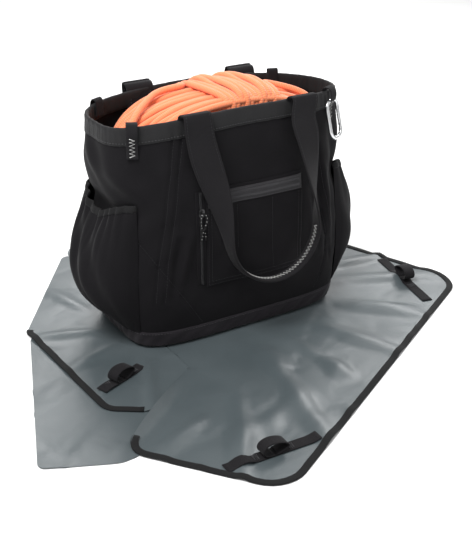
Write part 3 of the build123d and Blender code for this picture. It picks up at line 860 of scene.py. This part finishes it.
def pouch(hand, label):
    """One gathered end pocket with its elastic edge."""
    count, rows = 150, 56
    turns = pouch_turns(hand, count)
    share = np.linspace(0, 1, count)
    lean = np.sin(np.pi * share) ** 0.35
    heights = np.linspace(POUCH_LOW, POUCH_TOP, rows)
    out_at = curve_through(np.stack([POUCH_HEIGHTS, POUCH_OUT], -1), 12)

    def point(height, extra=0.0):
        stand = np.interp(height, out_at[:, 0], out_at[:, 1])
        base, away = ring_point(turns, height)
        sag = POUCH_SAG * np.sin(np.pi * share) ** 2 * easy((height - 0.12) / 0.126)
        full = np.stack([base[:, 0] + hand * stand * lean,
                         base[:, 1] + np.sign(base[:, 1]) * 0.002 * lean,
                         base[:, 2] - sag], -1)
        fade = np.exp(-(POUCH_TOP - height) / 0.042) + 0.30 * np.exp(-(height - POUCH_LOW) / 0.03)
        pleat = np.abs(np.sin(9 * np.pi * share + 1.5 * np.sin(7 * share) + 6 * height)) ** 1.3 - 0.5
        soft = np.sin(5 * np.pi * share + 9 * height) * np.sin(22 * height + 3 * share)
        ripple = 0.0060 * pleat * fade + 0.0030 * soft
        ripple += 0.0024 * np.sin(2 * np.pi * (3.5 * share + 9 * height))
        ripple = ripple * np.clip(lean * 1.25 - 0.25, 0, 1) + 0.0012
        return full + away * (ripple + extra)[:, None]

    grid = np.concatenate([point(h) for h in heights])
    made = piece(f"{label}_pocket_cloth", grid, grid_faces(rows, count), BAG_CLOTH, "bag",
                 [f"{label}_pocket"])
    thicken(made, LINING_THICK)
    band = [point(height, extra) for height, extra in ELASTIC_SECTION]
    faces = grid_faces(len(band), count, wrap_rows=True)
    faces.append(tuple(i * count for i in range(len(band))))
    faces.append(tuple(i * count + count - 1 for i in range(len(band)))[::-1])
    outward(piece(f"{label}_pocket_elastic_edge", np.concatenate(band), faces, ELASTIC, "bag",
                  [f"{label}_pocket_elastic"]))


# ---- front pocket --------------------------------------------------------------------------------
def front_patch(name, left, right, low, high, out, thick, material, replaces, ripple=0.0):
    """A cloth panel sewn flat on the bag's front, with turned edges."""
    spacing, turned = 0.0028, 0.0012
    cols, rows = int((right - left) / spacing), int((high - low) / spacing)
    xs, zs = np.linspace(left, right, cols), np.linspace(low, high, rows)
    gx, gz = np.meshgrid(xs, zs)
    edge = np.minimum(np.minimum(gx - left, right - gx), np.minimum(gz - low, high - gz))
    lift = out - thick * 0.55 * np.exp(-edge / turned)
    lift = lift + ripple * np.sin(70 * gx + 20 * gz) * np.sin(50 * gz + 1) * np.clip(edge / 0.02, 0, 1)
    grid = on_front(gx, gz, lift).reshape(-1, 3)
    made = piece(name, grid, grid_faces(rows, cols), material, "bag", replaces)
    thicken(made, thick)


POCKET = (-0.084, 0.100, 0.104, 0.268)  # left, right, low and high edge


def front_pocket():
    """The flat pocket with its double stitching, and the twill strip across its top."""
    left, right, low, high = POCKET
    front_patch("front_pocket_cloth", left, right, low, high, 0.0024, 0.0020, BAG_CLOTH,
                ["front_pocket_panel"], 0.0012)
    front_patch("twill_strip", -0.080, 0.096, 0.239, 0.263, 0.0044, 0.0018, TWILL,
                ["pocket_webbing"])
    box = []
    for inset in (0.003, 0.009):
        xs, zs = np.linspace(left + inset, right - inset, 60), np.linspace(low + inset, high - inset, 60)
        box.append(on_front(xs, 0 * xs + low + inset, 0.0028))
        box += [on_front(0 * zs + x, zs, 0.0028) for x in (right - inset, left + inset)]
    for x in (-0.026, 0.040):
        zs = np.linspace(0.112, 0.236, 40)
        box.append(on_front(0 * zs + x, zs, 0.0027))
    stitches("pocket_stitching", box, DARK_THREAD, "bag", radius=0.0003)
    rows = []
    for z in (0.2412, 0.2608):
        xs = np.linspace(-0.078, 0.094, 90)
        rows.append(on_front(xs, 0 * xs + z, 0.0048))
    ribs = []
    slant = 0.0040
    for x in np.arange(-0.076, 0.090, 0.0026):
        for start, stop in ((0.2428, 0.2506), (0.2590, 0.2512)):
            ribs.append(on_front(x + np.linspace(0, slant, 4), np.linspace(start, stop, 4), 0.0046))
    stitches("twill_herringbone", ribs, GREY_THREAD, "bag", length=0.0080, gap=0.01,
             radius=0.00045)
    stitches("twill_stitching", rows, GREY_THREAD, "bag", radius=0.0003)


ZIP_X, ZIP_LOW = -0.093, 0.112


def zip_closure():
    """The zip's cloth tape and its wound coil."""
    front_patch("zip_tape_cloth", -0.101, -0.085, ZIP_LOW, 0.268, 0.0018, 0.0012, BAG_CLOTH,
                ["zip_tape"])
    coils, per_coil = 104, 10
    turns = np.arange(0, coils * per_coil + 1) * 2 * math.pi / per_coil
    z = ZIP_LOW + 0.155 * turns / turns[-1]
    path = on_front(ZIP_X + 0.0021 * np.sin(turns), z, 0.0027 + 0.0009 * np.cos(turns))
    tube("zip_teeth", path, 0.00042, 5, COIL_PLASTIC, "bag", ["zip_coil"])


def zip_pull_cord():
    """A looped pull cord knotted through the slider's eye, with white marks on its front side as painted
    highlights.
    """
    pivot = np.array((ZIP_X, -0.1089, 0.2343))
    cord = 0.0013
    side = [(0.0, -0.0028, 0.0010), (0.0046, -0.0034, -0.004), (0.0054, -0.0030, -0.014),
            (0.0030, -0.0032, -0.022), (0.0012, -0.0036, -0.028), (0.0030, -0.0036, -0.037),
            (0.0048, -0.0036, -0.045)]
    left = [(-a, b, c) for a, b, c in side]
    path = pivot + curve_through(left[::-1] + side[1:], 8)
    tube("zip_pull_loop", path, cord, 10, ELASTIC, "zip_pull", ["zip_pull"])
    knot = []
    for t in np.linspace(0, 2 * math.pi * 1.6, 34):
        turn = np.array((0.0030 * math.cos(t), -0.0036 + 0.0024 * math.sin(t), -0.0295 + 0.0009 * t))
        knot.append(pivot + turn)
    tube("zip_pull_knot", knot, cord, 8, ELASTIC, "zip_pull")
    # Painted highlights: short white marks laid on the side of the cord that faces the front, where light
    # glints.
    painted_glints = []
    for i in range(3, len(path) - 6, 5):
        away = units(np.array((math.sin(i), -1.6, 0.2 * math.cos(i))))
        painted_glints.append(np.array([path[i] + away * cord, path[i + 2] + away * cord]))
    stitches("zip_pull_painted_glints", painted_glints, WHITE_THREAD, "zip_pull", length=0.0017, gap=0.0012,
             radius=0.0007)


# ---- handles -------------------------------------------------------------------------------------
# Down from the pivot line, left and right leg's place along the bag, width, thickness and twist.
LEGS = [
    (0.070, -0.089, 0.101, 0.048, 0.0024, 10),
    (0.140, -0.072, 0.105, 0.038, 0.0034, 40),
    (0.195, -0.062, 0.109, 0.028, 0.0044, 74),
    (0.226, -0.056, 0.108, 0.024, 0.0050, 88),
]
GRIP_LOW = (0.032, 0.288)


def handle_frame(side):
    """A handle's pivot place, and the ways down along the bag and out from it."""
    origin = np.array((0, side * 0.09488, 0.39164))
    down = np.array((0, side * 0.139173, -0.990268))
    out = np.array((0, side * 0.990268, 0.139173))
    return origin, down, out


def circle_through(a, b, c):
    """The circle through three points of a plane."""
    m = np.array([b - a, c - a]) * 2
    centre = np.linalg.solve(m, np.array([b @ b - a @ a, c @ c - a @ a]))
    return centre, float(np.linalg.norm(a - centre))


def grip_rows():
    """The grip's low arc, from the foot of one leg to the foot of the other."""
    down, left_x, right_x, width, thick, _ = LEGS[-1]
    a, b = np.array((left_x, down)), np.array((right_x, down))
    centre, radius = circle_through(a, np.array(GRIP_LOW), b)
    start = math.atan2(a[1] - centre[1], a[0] - centre[0])
    stop = math.atan2(b[1] - centre[1], b[0] - centre[0])
    rows = []
    for turn in np.linspace(start, stop, 9)[1:-1]:
        x, fall = centre + radius * np.array((math.cos(turn), math.sin(turn)))
        rows.append((fall, x, 0.0095, width, thick, 90))
    return rows


def leg_rows(leg, top, stand):
    """One leg of a handle from its fold at the rim down: down, along, out, width, thickness, twist."""
    flat = (STRAP_WIDTH, STRAP_THICK)
    rows = [(0.0015, top, 0.0, *flat, 0), (-stand, top, 0.0030, *flat, 0),
            (-stand + 0.002, top, 0.0066, *flat, 0), (0.010, top * 0.995, 0.0074, *flat, 0),
            (0.036, top * 0.965, 0.0055, *flat, 4)]
    for down, left_x, right_x, width, thick, twist in LEGS:
        out = 0.0045 + (width / 2 - 0.006) * math.sin(math.radians(twist))
        rows.append((down, (left_x, right_x)[leg], out, width, thick, twist))
    return rows


def handle_line(side, stand):
    """The middle line of a whole handle, its sideways directions, widths and thicknesses."""
    right_leg = [(*row[:5], 180 - row[5]) for row in leg_rows(1, HANDLE_X, stand)[::-1]]
    fine = curve_through(leg_rows(0, -HANDLE_X, stand) + grip_rows() + right_leg, 9)
    origin, down, out = handle_frame(side)
    path = origin + fine[:, [0]] * down + fine[:, [2]] * out + fine[:, [1]] * np.array((1, 0, 0))
    twist = np.radians(fine[:, 5])[:, None]
    across = np.cos(twist) * np.array((1, 0, 0)) + np.sin(twist) * out
    return path, across, fine[:, 3], fine[:, 4]


def handle(side, label):
    """A handle: flat straps at the rim that twist and fold into a narrow sewn grip."""
    path, across, width, thick = handle_line(side, 0.0005 if side < 0 else 0.0010)
    across, face = band_frame(path, across)
    fold = np.clip((0.046 - width) / 0.020, 0, 1)
    body = f"{label}_handle"
    sides = 24
    verts = []
    for i in range(len(path)):
        for turn in 2 * math.pi * np.arange(sides) / sides:
            u = squarish(math.cos(turn), 0.35) * 0.5
            v = squarish(math.sin(turn), 0.55 + 0.4 * fold[i]) * 0.5
            verts.append(path[i] + across[i] * u * width[i] + face[i] * v * thick[i])
    faces = capped_grid(len(path), sides)
    outward(piece(f"{label}_handle_strap", verts, faces, WEBBING, body, [f"{label}_handle"]))
    edges = []
    flat = np.flatnonzero(width > 0.044)
    for part in (flat[:len(flat) // 2], flat[len(flat) // 2:]):
        wide, deep = width[part, None], thick[part, None] + 0.0003
        for u in (-0.42, 0.42):
            edges += [path[part] + across[part] * u * wide + face[part] * v * deep for v in (-0.5, 0.5)]
    stitches(f"{label}_handle_edge_stitching", edges, DARK_THREAD, body, radius=0.0003)
    grip = width < 0.0262
    inner = np.where((face[grip] @ handle_frame(side)[1] < 0)[:, None], 1, -1) * face[grip]
    grip_zigzag(label, path[grip], across[grip], inner * (thick[grip, None] / 2 + 0.0003))


def grip_zigzag(label, line, across, lift):
    """The white zigzag that closes the grip along its inner edge."""
    steps = distance_along(line)
    zigzag = []
    stitch, half = 0.0032, 0.0042
    for k, spot in enumerate(np.arange(0, steps[-1], stitch)):
        place = [np.interp(spot, steps, line[:, c]) for c in range(3)]
        near = min(int(np.searchsorted(steps, spot)), len(line) - 1)
        zigzag.append(np.array(place) + lift[near] + across[near] * (half if k % 2 else -half))
    tube(f"{label}_grip_zigzag", zigzag, 0.00048, 6, WHITE_THREAD, f"{label}_handle")


def strap_ends(side, label):
    """The two sewn ends of a handle, from inside the hem up to the fold at the rim."""
    origin, _, _ = handle_frame(side)
    verts, faces = [], []
    rows = []
    for x in (-HANDLE_X, HANDLE_X):
        inside = origin[1] - side * 0.0115
        key = [(x, inside + side * out, z) for out, z in (
            (-0.0010, 0.342), (-0.0006, 0.360), (0, 0.376), (0.0016, 0.3855), (0.0060, 0.3908))]
        fine = curve_through(key + [(x, origin[1], origin[2])], 8)
        v, f = sweep(fine, np.tile((1.0, 0, 0), (len(fine), 1)), STRAP_WIDTH + 0.0002,
                     STRAP_THICK + 0.0001)
        faces += [tuple(i + len(verts) for i in face) for face in f]
        verts += v
        for shift in (-0.018, 0.018):
            rows.append(fine[2:24] + np.array((shift, -side * 0.0016, 0)))
    outward(piece(f"{label}_handle_sewn_ends", verts, faces, WEBBING, "bag",
                  [f"{label}_handle_ends"]))
    stitches(f"{label}_handle_end_stitching", rows, GREY_THREAD, "bag", radius=0.0004)


# ---- rim loops -----------------------------------------------------------------------------------
# Each loop's place on the rim, its way out, and whether it is on the front.
RIM_LOOPS = {
    "front_left": ((-0.190, -0.06702, 0.37629), (-0.456, -0.890), True),
    "front_right": ((0.172, -0.06304, 0.37810), (0.398, -0.917), True),
    "back_left": ((-0.184, 0.06980, 0.37691), (-0.396, 0.918), False),
    "back_right": ((0.150, 0.07073, 0.38007), (0.293, 0.956), False),
}


def rim_loop(label, origin, outside, front):
    """A short webbing loop over the rim, bar-tacked with a white zigzag."""
    origin, n = np.array(origin), units(np.array((*outside, 0.0)))
    t = np.array((-n[1], n[0], 0.0))
    side = -1 if origin[1] < 0 else 1

    def wall(down):
        """How far out the hem's face lies along the loop's own direction."""
        height = float(rim_at(origin[0])) - down
        place = skin(np.array([front_turn(origin[0], height, side)]), np.array([height]), 0.0019)[0]
        return float((place - origin)[:2] @ n[:2])

    tail = 0.046 if front else 0.024
    if front:
        key = [(-0.0078, -0.020), (-0.0078, -0.008), (-0.0072, 0.003), (-0.0030, 0.0080),
               (0.0040, 0.0082),
               (0.0092, 0.0040), (0.0108, -0.008), (wall(0.022) + 0.0046, -0.022),
               (wall(0.034) + 0.0018, -0.034)]
    else:
        key = [(-0.0078, -0.020), (-0.0078, -0.006), (-0.0066, 0.005), (-0.0020, 0.0078),
               (0.0020, 0.0050),
               (wall(0.004) + 0.0020, -0.004)]
    fine = curve_through(key + [(wall(tail) + 0.0014, -tail)], 8)
    path = origin + fine[:, [0]] * n + fine[:, [1]] * np.array((0, 0, 1.0))
    verts, faces = sweep(path, np.tile(t, (len(path), 1)), LOOP_WIDTH, LOOP_THICK)
    outward(piece(f"{label}_rim_webbing", verts, faces, WEBBING, "bag",
                  [f"{label}_rim_loop"]))
    zigzag = []
    outer = fine[len(fine) // 2:]
    for k, z in enumerate(np.arange(-tail + 0.003, -0.012 if front else -0.008, 0.0030)):
        out = np.interp(-z, -outer[:, 1], outer[:, 0]) + 0.0012
        zigzag.append(origin + n * out + t * (0.0040 if k % 2 else -0.0040) + np.array((0, 0, z)))
    tube(f"{label}_rim_zigzag", zigzag, 0.0005, 6, WHITE_THREAD if front else GREY_THREAD, "bag")


# ---- folded tarp ---------------------------------------------------------------------------------
# Outlines of the three folds on the ground: corners along and across.
UPPER = [(-0.336, -0.310), (-0.186, -0.500), (0.436, -0.150), (0.236, 0.360), (-0.150, 0.330),
         (-0.150, -0.165)]
SIDE = [(-0.330, 0.066), (-0.316, -0.206), (-0.256, -0.246), (-0.151, -0.165), (-0.151, 0.305),
        (-0.166, 0.300)]
LOWER = [(-0.455, -0.286), (-0.348, -0.332), (-0.100, -0.290), (0.150, -0.060), (0.150, 0.300),
         (-0.160, 0.292),
         (-0.334, 0.040)]


def rounded(points, radius):
    """A closed outline with rounded corners, as close points, and the side that each is on."""
    turn_steps, spacing = 7, 0.008
    p = np.array(points)
    out, marks = [], []
    count = len(p)
    for i in range(count):
        a, b, c = p[i - 1], p[i], p[(i + 1) % count]
        u, v = a - b, c - b
        lu, lv = np.linalg.norm(u), np.linalg.norm(v)
        u, v = u / lu, v / lv
        half = math.acos(np.clip(u @ v, -1, 1)) / 2
        reach = min(radius[i] / math.tan(half), 0.45 * lu, 0.45 * lv)
        r = reach * math.tan(half)
        centre = b + (u + v) / np.linalg.norm(u + v) * r / math.sin(half)
        first, last = b + u * reach - centre, b + v * reach - centre
        angle = math.atan2(first[0] * last[1] - first[1] * last[0], first @ last)
        for k in range(turn_steps + 1):
            turn = angle * k / turn_steps
            spin = np.array([[math.cos(turn), -math.sin(turn)], [math.sin(turn), math.cos(turn)]])
            out.append(centre + spin @ first)
            marks.append(i)
    dense, sides = [], []
    for i in range(len(out)):
        a, b = out[i], out[(i + 1) % len(out)]
        steps = max(1, int(np.linalg.norm(b - a) / spacing))
        for k in range(steps):
            dense.append(a + (b - a) * k / steps)
            sides.append(marks[i])
    return np.array(dense), np.array(sides)


def outline_distance(points, outline):
    """Distance from each point to an outline, less than zero outside it."""
    points = np.atleast_2d(points)
    a, b = outline, np.roll(outline, -1, axis=0)
    run = b - a
    best = np.full(len(points), 9.0)
    inside = np.zeros(len(points), bool)
    for i in range(len(a)):
        t = np.clip(((points - a[i]) @ run[i]) / (run[i] @ run[i]), 0, 1)
        best = np.minimum(best, np.linalg.norm(points - (a[i] + t[:, None] * run[i]), axis=1))
        crosses = (a[i][1] > points[:, 1]) != (b[i][1] > points[:, 1])
        at = a[i][0] + (points[:, 1] - a[i][1]) * run[i][0] / (run[i][1] if run[i][1] else 1e-9)
        inside ^= crosses & (points[:, 0] < at)
    return np.where(inside, best, -best)


FOOT = ring_point(np.linspace(-math.pi, math.pi, 120, endpoint=False), 0.0, 0.004)[0][:, :2]
UPPER_LINE, UPPER_SIDES = rounded(UPPER, [0.030, 0.055, 0.055, 0.055, 0.030, 0.012])
SIDE_LINE, SIDE_SIDES = rounded(SIDE, [0.020, 0.035, 0.020, 0.005, 0.010, 0.010])
LOWER_LINE, _ = rounded(LOWER, [0.012, 0.040, 0.040, 0.030, 0.030, 0.030, 0.030])

# Ridges of the laid cloth: two ends, half width and height.
UPPER_RIDGES = [
    ((-0.330, -0.300), (-0.160, -0.172), 0.013, 0.0075), ((-0.230, -0.455), (-0.110, -0.250), 0.016,
                                                          0.0050),
    ((-0.070, -0.420), (-0.020, -0.200), 0.018, 0.0045), ((0.060, -0.345), (0.040, -0.180), 0.014,
                                                          0.0035),
    ((0.170, -0.285), (0.110, -0.170), 0.018, 0.0050), ((0.300, -0.215), (0.190, -0.120), 0.020, 0.0060),
    ((0.410, -0.120), (0.250, -0.040), 0.018, 0.0045), ((0.380, 0.000), (0.250, 0.020), 0.016, 0.0050),
    ((0.330, 0.130), (0.230, 0.080), 0.018, 0.0045), ((0.240, 0.320), (0.150, 0.160), 0.016, 0.0045),
    ((0.060, 0.330), (0.040, 0.150), 0.018, 0.0040), ((-0.080, 0.300), (-0.060, 0.140), 0.014, 0.0040),
    ((-0.290, -0.340), (-0.200, -0.300), 0.010, 0.0035), ((-0.010, -0.330), (0.110, -0.250), 0.020,
                                                          0.0025),
    ((-0.200, -0.390), (-0.040, -0.310), 0.022, 0.0030),
]
SIDE_RIDGES = [
    ((-0.318, 0.040), (-0.222, 0.010), 0.012, 0.0040), ((-0.318, -0.080), (-0.216, -0.050), 0.013,
                                                        0.0042),
    ((-0.308, -0.170), (-0.214, -0.090), 0.010, 0.0038), ((-0.256, -0.236), (-0.200, -0.120), 0.011,
                                                          0.0045),
    ((-0.240, 0.180), (-0.212, 0.080), 0.014, 0.0040),
]
LOWER_RIDGES = [
    ((-0.440, -0.280), (-0.300, -0.200), 0.016, 0.0022), ((-0.400, -0.150), (-0.330, -0.100), 0.014,
                                                          0.0018),
    ((-0.350, -0.320), (-0.280, -0.270), 0.014, 0.0020),
]


def ridge_sum(points, ridges):
    """The height of all ridges at each point."""
    total = 0 * points[:, 0]
    for a, b, width, high in ridges:
        far, t = segment_distance(points, a, b)
        total += high * np.exp(-((far / width) ** 2)) * np.sin(np.pi * np.clip(0.10 + 0.80 * t, 0, 1))
        total -= 0.3 * high * np.exp(-(((far - 2.2 * width) / width) ** 2))
    return total


def ripples(points, outline, seed, share=1.0):
    """Small puckers that run in from a bound edge, and broad low waves."""
    inward = outline_distance(points, outline)
    x, y = points[:, 0], points[:, 1]
    turn = np.arctan2(y, x)
    pucker = np.sin(46 * turn + seed + 1.5 * np.sin(9 * turn)) * np.exp(-inward / 0.040)
    broad = np.sin(19 * x + 11 * y + seed) * np.sin(15 * y - 9 * x + 2 * seed)
    return 0.0022 * share * pucker + 0.0020 * broad


def lower_height(points):
    """Height of the lowest fold, which lies flat where the others cover it."""
    points = np.atleast_2d(points)
    low = 0.0018
    shape = ridge_sum(points, LOWER_RIDGES) + 0.5 * ripples(points, LOWER_LINE, 1.0, 0)
    rest = low + np.maximum(shape, 0)
    covered = easy(outline_distance(points, UPPER_LINE) / 0.03 + 0.6)
    covered = np.maximum(covered, easy(outline_distance(points, SIDE_LINE) / 0.03 + 0.6))
    return rest * (1 - covered) + low * covered


def stacked_height(points, outline, ridges, seed):
    """Height of a fold that lies partly on the lower one and passes flat under the bag."""
    points = np.atleast_2d(points)
    over = easy(outline_distance(points, LOWER_LINE) / 0.035 + 0.9)
    level = 0.0022 + 0.0018 * over
    shape = 1.6 * ridge_sum(points, ridges) + ripples(points, outline, seed, seed < 1)
    shape = shape * easy(-outline_distance(points, FOOT) / 0.030)
    return np.maximum(level + shape, np.where(over > 0.02, 0.0036, 0.0019))


def upper_height(points):
    """Height of the main fold."""
    return stacked_height(points, UPPER_LINE, UPPER_RIDGES, 0.4)


def side_height(points):
    """Height of the fold at the left."""
    return stacked_height(points, SIDE_LINE, SIDE_RIDGES, 2.2)


def laid_cloth(name, outline, height, replaced):
    """A closed thin sheet over an outline, shaped by a height for each place, and its area."""
    spacing, margin, row_share = 0.0085, 0.6, 0.866
    low, high = outline.min(0), outline.max(0)
    spots = []
    row = 0
    y = low[1]
    while y < high[1]:
        shift = spacing / 2 if row % 2 else 0
        spots += [(x, y) for x in np.arange(low[0] + shift, high[0], spacing)]
        y += spacing * row_share
        row += 1
    spots = np.array(spots)
    spots = spots[outline_distance(spots, outline) > spacing * margin]
    flat = [Vector(p) for p in np.vstack([outline, spots])]
    result = delaunay_2d_cdt(flat, [], [list(range(len(outline)))], 1, 1e-7, False)
    plan = np.array([tuple(v) for v in result[0]])
    faces = []
    middles = np.array([plan[list(face)].mean(0) for face in result[2]])
    for face, good in zip(result[2], outline_distance(middles, outline) > 0):
        if not good:
            continue
        a, b, c = (plan[i] for i in face[:3])
        turn = (b[0] - a[0]) * (c[1] - a[1]) - (b[1] - a[1]) * (c[0] - a[0])
        faces.append(tuple(face) if turn > 0 else tuple(face)[::-1])
    verts = np.column_stack([plan, height(plan)])
    made = piece(name, verts, faces, TARP, "tarp", replaced)
    thicken(made, TARP_THICK)
    x, y = outline.T
    return made, float(abs(0.5 * np.sum(x * np.roll(y, -1) - y * np.roll(x, -1))))


def edge_run(outline, sides, wanted):
    """The part of an outline that lies on the wanted sides, in order."""
    keep = np.isin(sides, wanted)
    start = 0
    count = len(keep)
    while not (keep[start] and not keep[start - 1]):
        start += 1
    out = []
    while keep[(start + len(out)) % count] and len(out) < count:
        out.append(outline[(start + len(out)) % count])
    out.append(outline[(start + len(out)) % count])
    return np.array(out)


def ribbon(name, flat, height, width, thick, material, replaced, inset=0.0, lift=0.0, ripple=0.0):
    """A band laid along a line on the cloth."""
    run = units(np.gradient(flat, axis=0))
    inward = np.column_stack([-run[:, 1], run[:, 0]])
    line = flat + inward * inset
    steps = distance_along(line)
    z = height(line) + lift + ripple * (1 + np.sin(steps * 95) * np.sin(steps * 41))
    path = np.column_stack([line, z])
    profile = [(0.5 * squarish(math.cos(t), 0.6), 0.5 * squarish(math.sin(t), 0.6))
               for t in np.linspace(0, 2 * math.pi, 14, endpoint=False)]
    verts, faces = sweep(path, np.column_stack([inward, 0 * z]), width, thick, profile)
    verts = [np.array((v[0], v[1], max(v[2], 0.0004))) for v in verts]
    outward(piece(name, verts, faces, material, "tarp", replaced))


# The two ends of each strap along and across the ground.
CORNER_STRAPS = {
    "tarp_right_corner": ((0.366, -0.010), (0.330, -0.184)),
    "tarp_front_corner": ((-0.082, -0.420), (-0.236, -0.416)),
    "tarp_left_corner": ((-0.214, -0.124), (-0.300, -0.160)),
}


def corner_strap(label, a, b, height):
    """A webbing strip sewn across a corner, with a loop standing at its middle."""
    a, b = np.array(a), np.array(b)
    flat = a + (b - a) * np.linspace(0, 1, 30)[:, None]
    ribbon(f"{label}_webbing", flat, height, CORNER_WIDTH, LOOP_THICK, WEBBING, [f"{label}_strap"],
           lift=0.0012)
    run = units(b - a)
    sideways = np.array((-run[1], run[0]))
    middle = (a + b) / 2
    base = float(height(middle)[0]) + 0.0022
    path = []
    for t in np.linspace(0.10, 2 * math.pi - 0.10, 44):
        up = 0.0098 * (1 - math.cos(t)) + 0.0012 * math.sin(2 * t)
        path.append((*(middle - run * 0.0205 * math.sin(t)), base + up))
    verts, faces = sweep(path, np.tile((*sideways, 0.0), (len(path), 1)), CORNER_WIDTH - 0.0005, LOOP_THICK)
    outward(piece(f"{label}_loop", verts, faces, WEBBING, "tarp"))
    for sign, word in ((-1, "one"), (1, "two")):
        tack = []
        for k in range(7):
            spot = middle + run * sign * (0.024 + 0.0016 * k) + sideways * (0.0065 if k % 2 else -0.0065)
            tack.append((*spot, float(height(spot)[0]) + 0.0023))
        tube(f"{label}_tack_{word}", tack, 0.0004, 5, GREY_THREAD, "tarp")


def tarp():
    """The three folds, their bound edges and the straps on their corners."""
    lower, area = laid_cloth("tarp_lower_sheet", LOWER_LINE, lower_height, ["tarp_lower_fold"])
    upper, area = laid_cloth("tarp_upper_sheet", UPPER_LINE, upper_height, ["tarp_main_panel"])
    side, area = laid_cloth("tarp_side_sheet", SIDE_LINE, side_height, ["tarp_side_fold"])
    main = edge_run(UPPER_LINE, UPPER_SIDES, [0, 1, 2, 3])
    end = edge_run(SIDE_LINE, SIDE_SIDES, [0, 1])
    for label, line, height in (("main", main, upper_height), ("side", end, side_height)):
        ribbon(f"tarp_{label}_edge_tape", line, height, TAPE_WIDTH, TAPE_THICK, BINDING,
               [f"tarp_{label}_binding"], inset=0.0042, lift=-0.0004, ripple=0.0004)
    for label, (a, b) in CORNER_STRAPS.items():
        corner_strap(label, a, b, side_height if "left" in label else upper_height)


# ---- metal parts kept from the frame -------------------------------------------------------------
METAL_PARTS = {
    "carabiner_frame": SILVER, "carabiner_gate": SILVER, "carabiner_pivot_pin": PIN_STEEL,
    "carabiner_latch_pin": PIN_STEEL, "zip_slider": SLIDER_METAL,
}


def metal_parts():
    """Gives the metal parts their looks in place of the plain ones."""
    for node, material in METAL_PARTS.items():
        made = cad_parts[node]
        made.data.materials.clear()
        made.data.materials.append(material)


camera()
studio()
shell()
boot()
hem()
seam_stitching()
pouch(-1, "left")
pouch(1, "right")
front_pocket()
zip_closure()
zip_pull_cord()
for way, word in ((-1, "front"), (1, "back")):
    handle(way, word)
    strap_ends(way, word)
for loop_name, (rim_place, rim_out, is_front) in RIM_LOOPS.items():
    rim_loop(loop_name, rim_place, rim_out, is_front)
rope()
tarp()
metal_parts()
